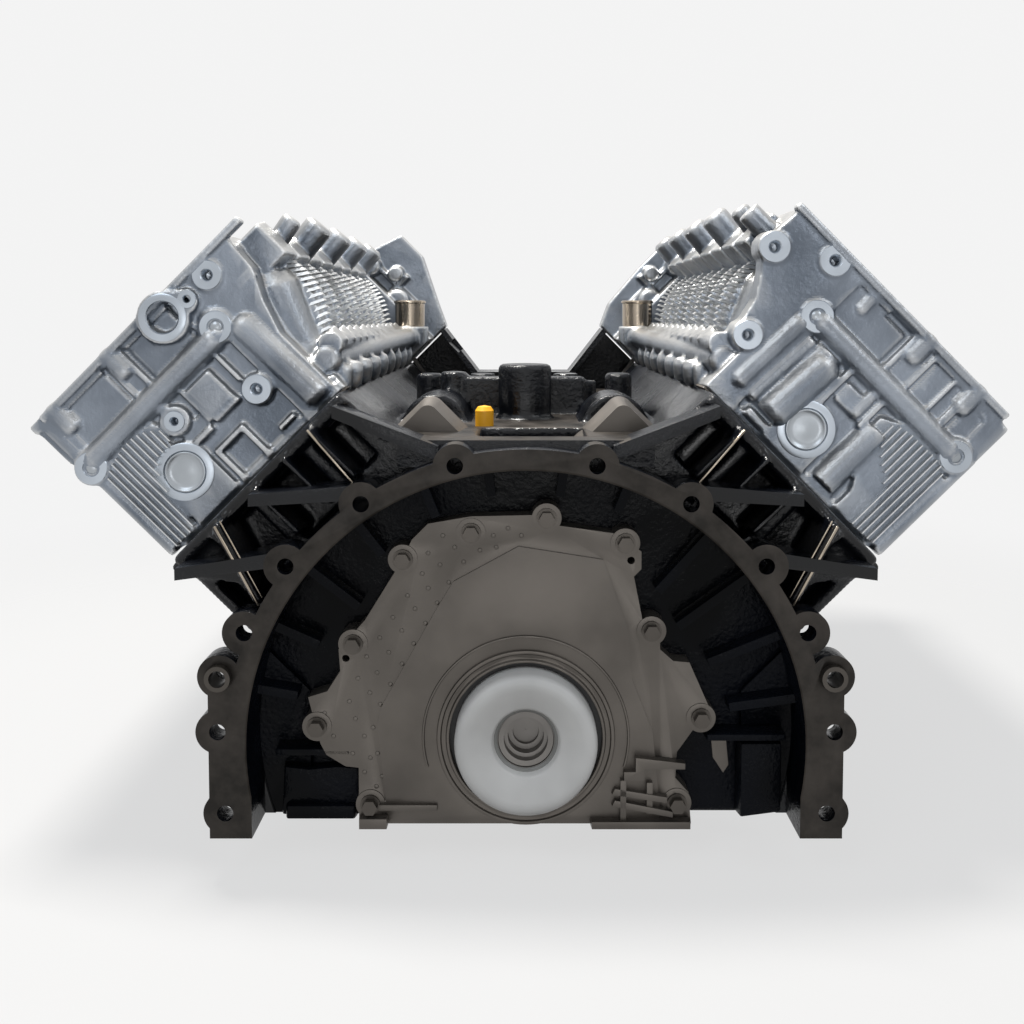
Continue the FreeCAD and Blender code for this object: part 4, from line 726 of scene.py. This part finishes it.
# %% Lumps on the rear faces
REAR = {
    RIGHT: {
        "ribs": [(-66, -60, 94, 134), (3, 8, 92, 134), (24, 28, 92, 134), (46.5, 49.5, 94, 132),
                 (58, 66, 96, 134),
                 (-13, -7, 46, 88), (20, 25, 56, 88), (-66, 12, 86, 94), (-44, -18, 5, 13),
                 (-60, -20, 128, 132), (28, 60, 128, 132), (-100, -70, 128, 134), (-72, -66, 96, 122)],
        "pads": [(-58, 1, 96, 127, 2.6), (30, 45, 96, 127, 2.6), (51, 57, 96, 127, 2.6), (-5, 18, 58, 75, 4),
                 (68, 90, 98, 128, 2.5), (9, 23, 97, 122, 3.4)],
        "bumps": [(13.6, 130, 8), (64.4, 130, 8), (-36, 130, 5)],
        "field": [(28, 74), (43, 82), (67, 82), (88, 80), (96, 70), (97, 4), (69, 2), (51, 3), (51, 20),
                  (44, 33), (33, 42), (27, 57)],
        "outer": (93, 101, 2, 98, 6),
        "tubes": [((-55, 90.5), (85, 90.5), 9.5), ((-29, 16), (-26, 76), 13), ((-62, 16), (-60, 84), 8),
                  ((-48, 16), (-45, 78), 6), ((14, 60), (14, 90), 5)],
        "bosses": [(-112, 103.5, 12.5), (-74.8, 127, 12.5), (-55.5, 90.5, 13), (-81, 46.5, 12),
                   (86, 90.5, 14)],
        "corner": [(86, 84), (101, 84), (101, 132), (86, 134), (72, 134), (72, 128), (84, 124)],
        "fins": [(38, 62, 75), (43, 57, 78), (48, 52, 79), (53, 48, 80), (58, 46, 80), (63, 40, 80),
                 (68, 4, 80), (73, 4, 80), (78, 4, 80), (83, 4, 79), (88, 5, 76)],
    },
    LEFT: {
        "ribs": [(19, 24, 92, 134), (33, 37, 92, 134), (-32, -28, 92, 114), (92, 98, 96, 134),
                 (-17, 8, 46, 50), (-5, 0, 2, 34), (20, 25, 2, 34), (-5, 25, 29, 34),
                 (-47, -42, 16, 88), (-28, -24, 56, 88),
                 (-30, 18, 86, 94), (8, 12, 50, 88), (12, 30, 44, 50), (-36, -20, 9, 14), (-26, 16, 128, 132),
                 (40, 90, 128, 132), (-88, -72, 100, 106)],
        "pads": [(-26, 17, 96, 127, 2.6), (39, 90, 99, 127, 2.6), (-16, 8, 51, 79, 6), (25, 32, 94, 124, 3),
                 (12, 34, 52, 60, 3), (-42, -34, 104, 112, 4)],
        "bumps": [(28.5, 130, 8), (84, 130, 8), (-4, 130, 5)],
        "field": [(36, 70), (40, 80), (60, 84), (88, 80), (97, 70), (98, 4), (74, 2), (70, 30), (60, 56),
                  (42, 60)],
        "outer": (94, 101, 2, 98, 6),
        "tubes": [((-38, 90.5), (94, 90.5), 9.5), ((-57, 6), (-55, 88), 11), ((28, 78), (28, 92), 6)],
        "bosses": [(-63, 124.4, 12), (-41, 94.4, 13.5), (-30, 43, 12), (28, 68.4, 8.5), (94, 87, 14)],
        "corner": [(88, 84), (101, 84), (101, 132), (88, 134), (76, 134), (76, 128), (86, 124)],
        "fins": [(40, 60, 72), (44.6, 58, 76), (49.2, 58, 79), (53.8, 58, 81), (58.4, 54, 82), (63, 48, 82),
                 (67.6, 36, 82), (72.2, 6, 81), (76.8, 4, 80), (81.4, 4, 79), (86, 4, 77), (90.6, 4, 74)],
    },
}


def rear_lumps(side):
    """Everything that the rear face carries, sunk a little into the casting."""
    table = REAR[side]
    base = FACE_Y + LUMP_SUNK
    line = FACE_Y - 1
    made = []
    for t0, t1, low, high in table["ribs"]:
        made.append(lump(side, t0, t1, low, high, base, FACE_Y - 5.5, 0.7))
    for t0, t1, low, high, proud in table["pads"]:
        made.append(lump(side, t0, t1, low, high, base, FACE_Y - proud, 0.9))
    for t, up, radius in table["bumps"]:
        made.append(bank_rod(side, (t, line, up - 16), (t, line, up + 10), radius))
    made.append(plate(side, table["field"], base, FACE_Y - 5, 0.96))
    t0, t1, low, high, proud = table["outer"]
    made.append(lump(side, t0, t1, low, high, base, FACE_Y - proud, 0.8))
    for (ta, ua), (tb, ub), radius in table["tubes"]:
        made.append(bank_rod(side, (ta, line, ua), (tb, line, ub), radius))
    for t, up, radius in table["bosses"]:
        made.append(peg(side, t, up, FACE_Y + 16, FACE_Y - 7.5, radius))
    made.append(plate(side, table["corner"], base, FACE_Y - 4.5))
    return made


# %% [markdown]
# The valley side carries the intake: four tall port humps with ladder-like sand ribs between them, screw
# bosses that lean out from under the cam rail, a thick water gallery along the foot, and upright blocks,
# columns and almond-shaped swellings around it.

# %% Lumps on the valley sides
FIRST_BORE = {RIGHT: 132.5, LEFT: 110.5}
RAIL_IN = {RIGHT: 122, LEFT: 108}
PITCH = 99
FAR_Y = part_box("cam_box_left")[1].y / MM - 22
FIN_FRONT = FACE_Y - 8.6
FIN_HALF = 1.1
ELBOW = (0.127, 0.464, 0.262)
FAR_BOSSES = [(-112, 60, 13, 26), (-132, 84, 9, 18), (-118, 110, 11, 30), (-98, 96, 10, 22)]


def fin_rows(side):
    """Thin cooling fins that stand on the raised field, kept out of the skin so that they stay sharp."""
    return [lump(side, t - FIN_HALF, t + FIN_HALF, low, high, FACE_Y - 2, FIN_FRONT, 0.4)
            for t, low, high in REAR[side]["fins"]]


def scatter(piece, places):
    """Copies of one piece, one at each place; the pattern itself goes to the first."""
    made = []
    for matrix in places[1:]:
        twin = piece.copy()
        twin.data = piece.data.copy()
        scene.collection.objects.link(twin)
        made.append(settle(twin, matrix))
    made.append(settle(piece, places[0]))
    return made


def ladder_curve(share):
    """Across and up a bank along the hollow between two port humps."""
    return -82 - 17 * math.sin(math.pi * share * 0.8) - 10 * share, 34 + 74 * share


def ladders(side):
    """Curved rows of short steps between the port humps."""
    places = []
    count = 17
    for row in range(8):
        y = FIRST_BORE[side] - 24 + PITCH / 2 * row
        for k in range(count):
            share = k / (count - 1)
            t, up = ladder_curve(share)
            spot = Matrix.Translation(Vector((t * side, y + 8 * share, SEAT + up)) * MM)
            places.append(LEAN[side] @ spot @ Matrix.Rotation(-side * (0.25 + 0.5 * share), 4, "Y"))
    bpy.ops.object.select_all(action="DESELECT")
    bpy.ops.mesh.primitive_plane_add(size=MM)
    bpy.ops.object.mode_set(mode="EDIT")
    bpy.ops.mesh.select_all(action="SELECT")
    bpy.ops.transform.resize(value=(13, 10, 1))
    bpy.ops.transform.translate(value=(0, 0, -1 * MM))
    pull(2.2, 0.8)
    return scatter(close_up(), places)


def valley_lumps(side):
    rail_in = RAIL_IN[side]
    made = []
    for index in range(4):
        middle = FIRST_BORE[side] + PITCH * index
        for step in (-1, 1):
            y = middle + PITCH / 4 * step
            made.append(bank_rod(side, (-58, y, 24), (-90, y, 100), 17, nose=0.6))
            made.append(lump(side, -rail_in - 6, -60, 98, 134, y + 12, y - 12, 0.85))
        for share in (0, 0.2, 0.4, 0.6, 0.8):
            for row in (-24, 25.5):
                (ta, ua), (tb, ub) = ladder_curve(share), ladder_curve(share + 0.2)
                y = middle + row + 8 * share
                made.append(bank_rod(side, (ta + 4, y, ua), (tb + 4, y + 1.6, ub), 5))
        y = middle + 46
        made.append(bank_rod(side, (-70, y, 108), (-rail_in - 30, y, 114), 12, nose=0.25))
        y = middle - 4
        made.append(bank_rod(side, (-74, y, 112), (-rail_in - 22, y, 122), 8, nose=0.25))
        for shift in (-40, -16, 8, 32):
            y = middle + shift
            made.append(bank_rod(side, (-68, y, 0), (-83, y, 13), 6.5))
        for shift in (-28, 20):
            y = middle + shift
            made.append(bank_rod(side, (-72, y, 0), (-88, y, 12), 9, nose=1.2))
        for shift in (-36, 0, 30):
            made.append(lump(side, -98, -80, 24, 40, middle + shift + 7, middle + shift - 7, 0.8))
    made.append(bank_rod(side, (-78, FACE_Y + 4, 24), (-94, 452, 18), 11))
    elbow_x, elbow_y, elbow_z = ELBOW
    made.append(rod(bank_point(side, -92, 440, 18), (elbow_x * side, elbow_y, elbow_z), 15))
    for t, up, radius, reach in FAR_BOSSES:
        made.append(bank_rod(side, (t, FAR_Y + 4, up), (t, FAR_Y - reach, up), radius, nose=0.2))
    made.append(lump(side, -140, -100, 70, 76, FAR_Y + 2, FAR_Y - 12, 0.8))
    made.append(lump(side, -126, -120, 40, 120, FAR_Y + 2, FAR_Y - 10, 0.8))
    made.append(lump(side, -rail_in, {RIGHT: 92, LEFT: 95}[side], 133, 139, FACE_Y + 2, FACE_Y - 8.5, 0.9))
    return made


# %% [markdown]
# ## One skin for each head
# Each head is one casting, so its two construction nodes and every lump become one voxel skin, smoothed the
# way a sand mould rounds its corners, then thinned where it is flat.

# %% Head skins
HEAD_CELL = 1.6
HEAD_MOST = 188000
BLOCK_CELL = 2.4
BLOCK_MOST = 185000
SKIN_PASSES = 2

for side in (LEFT, RIGHT):
    name = SIDE_NAME[side]
    cast_skin(f"head_skin_{name}", (f"cylinder_head_{name}", f"cam_box_{name}"),
              rear_lumps(side) + valley_lumps(side), HEAD_CELL, SKIN_PASSES, HEAD_MOST, "head_aluminium")
    finish_piece(join(fin_rows(side) + ladders(side), f"head_ribs_{name}"), "head_aluminium", smooth=35)

# %% [markdown]
# ## The block's skin
# The vee and its skirts are one casting as well.  Webs run from the clutch flange up to the deck, with cored
# pockets between them, and a thick strip follows each deck edge.

# %% Block skin
WALL_Y = 22
DECK_UP = -1.6
BLOCK_RIBS = [(-47, -42, -52, -4, 4), (-20, -15, -50, -6, 8), (8, 14, -52, -6, 8), (52, 57, -52, -8, 10)]


def block_lumps(side):
    """Webs, deck strip and outer step of one bank's rear end."""
    made = [lump(side, -75, 88, -12, DECK_UP, WALL_Y + 3, WALL_Y - 7, 0.8)]
    for t0, t1, low, high, front in BLOCK_RIBS:
        made.append(lump(side, t0, t1, low, high, WALL_Y + 24, front, 0.6))
    made.append(plate(side, [(57, -66), (63, -66), (46, -6), (39, -6)], WALL_Y + 20, -4, 0.98))
    made.append(plate(side, [(60, -60), (86, -20), (88, -4), (52, -4)], WALL_Y + 6, WALL_Y - 3, 0.95))
    made.append(plate(side, [(80, -22), (97, -18), (97, -4), (84, -4)], WALL_Y + 70, WALL_Y + 4, 0.94))
    for y in (88, 187, 286, 385, 484):
        made.append(bank_rod(side, (80, y, -60), (80, y, -6), 9))
    for y in (138, 237, 336, 435):
        made.append(lump(side, 84, 91, -70, -14, y + 30, y - 30, 0.7))
    return made


cast_skin("block_skin", ("engine_block", "crankcase_skirt_right", "crankcase_skirt_left"),
          block_lumps(LEFT) + block_lumps(RIGHT), BLOCK_CELL, SKIN_PASSES, BLOCK_MOST, "cast_iron_black")

# %% [markdown]
# ## Crisp copies
# Machined parts keep their sharp outlines: the copy is welded, flat areas are merged and only the true edges
# get a narrow bevel, which catches the light as a deburred edge does.

# %% Crisp copies


def crisp(node, width, added=(), angle=32):
    twin = join([copy_node(node)] + list(added), node + "_crisp")
    only(twin)
    bpy.ops.object.mode_set(mode="EDIT")
    bpy.ops.mesh.select_all(action="SELECT")
    bpy.ops.mesh.dissolve_limited(angle_limit=math.radians(2))
    bpy.ops.object.mode_set(mode="OBJECT")
    use(twin, "BEVEL", width=width * MM, segments=2, limit_method="ANGLE", angle_limit=math.radians(angle),
        use_clamp_overlap=True)
    return finish_piece(twin, SLOT_OF[node], smooth=angle, stands_for=(node,))


def flat_frame(x, z, y):
    """A place on the engine's rear: X to the right, Y up, Z out towards the camera."""
    return Matrix.Translation(Vector((x, y, z)) * MM) @ TO_REAR


def straight_plate(outline, base, front, draft=1.0):
    """A flat piece of any outline (x, z) that faces the camera."""
    piece, middle = outlined(outline, base - front, draft)
    return settle(piece, flat_frame(middle.x, middle.y, base))


crisp("clutch_housing_flange", 0.8)

# %% [markdown]
# ## The rear cover of the crankshaft
# The cover is a flat aluminium casting.  Its outer band carries rows of small ejector dimples, a raised lip
# runs round the seal, and a stepped bracket form is cast into its lower right.

# %% Rear cover
BAND_Y = 6
PANEL_Y = 4
DOT_ROWS = [
    [(-108, -45), (-110, -25), (-118, -12), (-131, 0), (-137, 16), (-120, 24), (-114, 40), (-108, 55),
     (-99, 68), (-90, 82), (-80, 97), (-70, 112), (-66, 126), (-56, 138), (-45, 143)],
    [(-102, -35), (-106, -15), (-110, 0), (-116, 12), (-106, 30), (-101, 44), (-93, 58), (-84, 73), (-75, 88),
     (-66, 102), (-58, 118), (-48, 130), (-30, 143), (-22, 138), (-12, 143), (-3, 138)],
    [(-96, -46), (-98, -28), (-101, -12), (-104, 6), (-99, 22), (-92, 36), (-84, 50), (-76, 64), (-68, 78),
     (-60, 92), (-52, 106), (-42, 120), (-31, 128), (-20, 130)],
]
LIP = [(-1, 61), (1.6, 60), (1.6, 58), (0.4, 57.2), (0.4, 54.5), (2.2, 53.6), (2.2, 52.1), (-1, 52.1)]
ARC = [(-1, 71), (1.2, 70.2), (1.2, 69.2), (-1, 68.4)]


def cover_details():
    made = []
    dot = turned([(0, 1.7), (0.5, 1.4), (0.8, 0.6)], 10)
    first = DOT_ROWS[0][0]
    settle(dot, flat_frame(first[0], first[1], BAND_Y + 0.1))
    spots = [spot for row in DOT_ROWS for spot in row]
    made += series(dot, [((x - first[0]) * MM, 0, (z - first[1]) * MM) for x, z in spots[1:]])
    made.append(settle(turned(LIP, 96, solid=False), flat_frame(0, 0, PANEL_Y)))
    arc = turned(ARC, 96, solid=False)
    only(arc)
    bpy.ops.object.mode_set(mode="EDIT")
    bpy.ops.mesh.select_all(action="SELECT")
    bpy.ops.mesh.bisect(plane_co=(0, -0.02, 0), plane_no=(0, 1, 0), clear_inner=True)
    bpy.ops.object.mode_set(mode="OBJECT")
    made.append(settle(arc, flat_frame(0, 0, PANEL_Y)))
    return made


BRACKET = [
    ([(66, -22), (74, -22), (74, -12), (92, -14), (108, -16), (108, -20), (80, -20), (80, -28),
      (66, -28)], 5),
    ([(58, -38), (60, -34), (96, -40), (96, -44)], 4),
    ([(58, -46), (60, -42), (100, -50), (100, -54)], 4),
    ([(64, -28), (68, -28), (68, -60), (64, -60)], 4),
    ([(82, -30), (86, -30), (86, -52), (82, -52)], 3),
    ([(-100, -50), (-60, -50), (-60, -46), (-100, -46)], 2.5),
    ([(44, -61), (112, -61), (112, -56), (44, -56)], 6),
    ([(-113, -61), (-94, -61), (-94, -54), (-113, -54)], 6),
]


def bracket_relief():
    return [straight_plate(outline, PANEL_Y + 1, PANEL_Y - proud, 0.98) for outline, proud in BRACKET]


crisp("rear_seal_carrier", 0.7, added=cover_details() + bracket_relief(), angle=38)

# %% [markdown]
# ## The white sleeve
# The sleeve is moulded plastic: a dished ring whose bore steps inward to a throat, painted dark grey as
# the shade seen through the translucent plastic deep in the bore.

# %% Sleeve
SLEEVE_LOW, SLEEVE_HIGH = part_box("seal_fitting_sleeve")
SLEEVE_R = (SLEEVE_HIGH.x - SLEEVE_LOW.x) / 2 / MM
SLEEVE_FRONT = SLEEVE_LOW.y / MM
SLEEVE_BACK = SLEEVE_HIGH.y / MM


def sleeve():
    edge = SLEEVE_R
    profile = [(SLEEVE_FRONT - SLEEVE_BACK, edge), (-6, edge), (-2.4, edge - 0.8), (-0.6, edge - 3),
               (0, edge - 6), (-0.6, edge - 10), (-3.6, edge - 16), (-6.6, 24.5), (-7.4, 23.4),
               (-8.4, 22.6), (-12, 21.6)]
    ring = turned(profile, 96, solid=False)
    return settle(ring, flat_frame(0, 0, SLEEVE_FRONT))


def throat():
    profile = [(-11.6, 23), (-11.8, 20.5), (-12.6, 19.4), (-13.2, 19.2)]
    ring = turned(profile, 96, solid=False)
    return settle(ring, flat_frame(0, 0, SLEEVE_FRONT))


finish_piece(join([sleeve()], "fitting_sleeve"), "sleeve_plastic", smooth=40,
             stands_for=("seal_fitting_sleeve",))
# The throat is dark grey: painted shade deep in the bore.
shaded_throat = finish_piece(join([throat()], "sleeve_throat"), "sleeve_plastic", smooth=40)
shaded_throat.data.materials.clear()
shaded_throat.data.materials.append(soft_plain("sleeve_painted_shade", (0.2, 0.2, 0.19), 0.35))

# %% [markdown]
# ## Machined faces on the heads
# Every bolt boss is faced off and tapped: a bright ring with a dark threaded hole.  The two ends of the oil
# gallery are closed by steel balls, and a dished core plug sits in its own ring.

# %% Boss faces, balls and plugs
THREAD = [(-1.2 - 0.7 * k, 3.2 if k % 2 else 3.7) for k in range(14)]
HOLE_FACE = [(-1.4, 10.9), (-0.5, 11.2), (0, 10.7), (0, 5.0), (-0.9, 3.8)] + THREAD + [(-11.2, 0.3)]
BALL_FACE = [(-1.4, 11.4), (-0.5, 11.8), (0, 11.3), (0, 6.2), (-0.8, 5.6), (-1.6, 5.6), (-1.6, 4)]
PLUG_FACE = [(-1.4, 20.6), (-0.4, 21), (0, 20.4), (0, 15.6), (-0.7, 15), (-3, 15)]
PORT_FACE = [(-1.4, 16.6), (-0.4, 17), (0, 16.2), (0, 12), (-1, 11.2), (-9, 10.8), (-9.4, 9.4),
             (-15, 9.2), (-15.2, 0.4)]
PLUG_CUP = [(-4, 14.8), (-0.6, 14.8), (-0.2, 14.2), (-0.2, 13.6), (-1.6, 12.8), (-1.9, 9), (-1.2, 5),
            (-0.9, 1)]
TAPPED = {
    RIGHT: [(-112, 103.5, 1.0), (-74.8, 127, 1.0), (-81, 46.5, 0.95)],
    LEFT: [(-63, 124.4, 0.95), (-30, 43, 0.95), (28, 68.4, 0.68)],
}
BALLED = {RIGHT: [(-55.5, 90.5), (86, 90.5)], LEFT: [(-41, 94.4), (94, 87)]}
PLUGS = {RIGHT: (-3, 29), LEFT: (49.3, 38)}
BOSS_Y = FACE_Y - 7.9


def boss_faces():
    made = []
    for side in (LEFT, RIGHT):
        for t, up, size in TAPPED[side]:
            face = turned(HOLE_FACE, 32, solid=False)
            made.append(settle(face, rear_frame(side, t, up, BOSS_Y) @ Matrix.Diagonal((size, size, 1, 1))))
        for t, up in BALLED[side]:
            face = turned(BALL_FACE, 32, solid=False)
            made.append(settle(face, rear_frame(side, t, up, BOSS_Y)))
        t, up = PLUGS[side]
        face = turned(PLUG_FACE, 48, solid=False)
        made.append(settle(face, rear_frame(side, t, up, FACE_Y - 5.6)))
    face = turned(PORT_FACE, 48, solid=False)
    made.append(settle(face, rear_frame(LEFT, -20, 125, FACE_Y - 10.9)))
    face = turned(HOLE_FACE, 32, solid=False)
    made.append(settle(face, rear_frame(LEFT, -41.5, 122, FACE_Y - 10.5) @ Matrix.Diagonal((0.6, 0.6, 1, 1))))
    return made


faces = finish_piece(join(boss_faces(), "boss_faces"), "head_aluminium", smooth=35)
faces.data.materials.clear()
faces.data.materials.append(BOSS_FACE)


def balls():
    made = []
    for side in (LEFT, RIGHT):
        for t, up in BALLED[side]:
            ball = turned([(-3, 5.4), (-1.4, 5.3), (-0.4, 4.4), (0.5, 2.9), (0.9, 1.2)], 24)
            made.append(settle(ball, rear_frame(side, t, up, BOSS_Y + 0.6)))
    return made


finish_piece(join(balls(), "gallery_balls"), "plug_steel", stands_for=("gallery_ball_plugs",))


def rear_plugs():
    made = []
    for side in (LEFT, RIGHT):
        t, up = PLUGS[side]
        cup = turned(PLUG_CUP, 40)
        made.append(settle(cup, rear_frame(side, t, up, FACE_Y - 5.6)))
    return made


finish_piece(join(rear_plugs(), "rear_plug_cups"), "plug_steel")

# %% [markdown]
# ## Small things that catch the eye
# Thin bright rods along the two long webs are painted highlights on their edges, the two leaning seats in
# the valley are cut bare, the hose stubs end in a rolled bead, and the crankshaft's pilot bore is a stack of
# dark rings.

# %% Edges, seats, beads and bore


# Thin bright rods laid on the webs' edges: painted highlights.
def painted_edge_highlights():
    made = []
    for side in (LEFT, RIGHT):
        made.append(bank_rod(side, (60, -4.6, -66), (42.5, -4.6, -8), 1.1, 8))
        made.append(bank_rod(side, (-41, 1, -60), (-45, 3, -6), 0.9, 8))
        made.append(bank_rod(side, (54.5, -4.6, -64), (37.5, -4.6, -8), 0.6, 8))
    return made


finish_piece(join(painted_edge_highlights(), "painted_edge_highlights"), "stub_steel", smooth=40)

PAD_X = 70
PAD_NOSE = 10
PAD_RISE = 13
PAD_SUNK = 8
PAD_BACK = 84
PAD_FRONT = 52
PAD_TAPER = 0.74


def pad_outline(x):
    """A rounded top with flanks at 45 degrees, whose foot stands in the shelf."""
    foot = PAD_RISE + PAD_NOSE * math.sqrt(2) + PAD_SUNK
    turns = [math.radians(turn) for turn in range(45, 136, 10)]
    top = [(x + PAD_NOSE * math.cos(turn), PAD_RISE + PAD_NOSE * math.sin(turn)) for turn in turns]
    level = SHELF_Z / MM
    return [(px, level + rise) for px, rise in [(x + foot, -PAD_SUNK)] + top + [(x - foot, -PAD_SUNK)]]


def leaning_seats():
    return [straight_plate(pad_outline(PAD_X * side), PAD_BACK, PAD_FRONT, PAD_TAPER)
            for side in (LEFT, RIGHT)]


finish_piece(join(leaning_seats(), "valley_seats"), "bare_iron", smooth=40)

STUB_BEAD = [(-3.6, 16.6), (-2.8, 17.8), (-1.2, 17.9), (-0.4, 17.0), (0, 16.2), (-0.2, 14.6), (-2, 14.4)]


def stub_beads():
    made = []
    for side in (LEFT, RIGHT):
        name = f"coolant_stub_{SIDE_NAME[side]}"
        low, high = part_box(name)
        middle = (low + high) / 2
        bead = turned(STUB_BEAD, 40, solid=False)
        made.append(settle(bead, Matrix.Translation((middle.x, middle.y, high.z))))
    return made


finish_piece(join(stub_beads(), "stub_beads"), "stub_steel", smooth=50)

PILOT = [(-14, 18.6), (-14.2, 15), (-20, 14.8), (-20.3, 12.4), (-27, 12.2), (-27.3, 9), (-30, 8.8),
         (-30.2, 0.3)]
finish_piece(join([settle(turned(PILOT, 64, solid=False), flat_frame(0, 0, SLEEVE_FRONT))], "pilot_rings"),
             "forged_steel", body="crankshaft", smooth=30)


CASTINGS = [
    ([(-170, -60), (-114, -60), (-114, -25), (-130, -24), (-150, -26), (-168, -24)], 1, 8, 0.94),
    ([(-166, -60), (-116, -60), (-116, -50), (-166, -50)], -6, 13, 0.94),
    ([(-172, -14), (-118, -14), (-118, -9), (-172, -9)], 1, 16, 0.96),
    ([(146, -4), (176, -4), (176, -56), (146, -60)], 1, 14, 0.92),
    ([(122, 2), (178, 2), (178, -3), (122, -3)], 1, 18, 0.96),
]
WINDOW = [(128, -2), (135, 0), (140, -8), (142, -28), (138, -34), (130, -22)]


def bell_inside():
    """The oil pan foot at the lower left, and the frame round a window at the lower right."""
    return [straight_plate(outline, WALL_Y + sunk, WALL_Y - proud, draft)
            for outline, sunk, proud, draft in CASTINGS]


inner = join(bell_inside(), "bell_inner_castings")
use(inner, "BEVEL", width=1.4 * MM, segments=2, limit_method="ANGLE", angle_limit=math.radians(35))
finish_piece(inner, "cast_iron_black", smooth=35)
window = straight_plate(WINDOW, WALL_Y + 1, WALL_Y - 0.6, 0.9)
finish_piece(join([window], "bell_window"), "carrier_aluminium", smooth=35)

# %% [markdown]
# ## Valve springs
# A coil is one round wire section screwed upwards.  One spring is wound, its ends are closed, and it is
# copied to all thirty-two valves, which lean outwards to the camshafts.

# %% Valve springs
VALVE_FOOT = 18
VALVE_PITCH = 44
VALVE_LEAN = math.atan2(24, 128)
VALVE_BASE = 3.2
COIL_LOW = 61
COIL_HIGH = 84
COIL_RADIUS = 9.6
WIRE = 1.5
TURNS = 5
TURN_STEPS = 18


def wound_coil():
    bpy.ops.object.select_all(action="DESELECT")
    bpy.ops.mesh.primitive_circle_add(vertices=8, radius=WIRE * MM, fill_type="NOTHING",
                                      location=(COIL_RADIUS * MM, 0, 0), rotation=(QUARTER, 0, 0))
    coil = bpy.context.object
    bpy.ops.object.transform_apply(location=True, rotation=True, scale=True)
    rise = (COIL_HIGH - COIL_LOW) / TURNS * MM
    use(coil, "SCREW", axis="Z", angle=QUARTER * 4, screw_offset=rise, iterations=TURNS, steps=TURN_STEPS,
        render_steps=TURN_STEPS)
    bpy.ops.object.mode_set(mode="EDIT")
    bpy.ops.mesh.select_all(action="SELECT")
    bpy.ops.mesh.fill_holes(sides=8)
    return close_up()


def spring_places():
    places = []
    for side in (LEFT, RIGHT):
        for index in range(4):
            for step in (-1, 1):
                y = FIRST_BORE[side] + PITCH * index + VALVE_PITCH / 2 * step
                for offset in (-1, 1):
                    foot = Matrix.Translation(Vector((VALVE_FOOT * offset, y, SEAT + VALVE_BASE)) * MM)
                    rise = Matrix.Translation((0, 0, COIL_LOW * MM))
                    places.append(LEAN[side] @ foot @ Matrix.Rotation(VALVE_LEAN * offset, 4, "Y") @ rise)
    return places


springs = join(scatter(wound_coil(), spring_places()), "valve_coils")
finish_piece(springs, "spring_steel", smooth=60, stands_for=("valve_springs",))
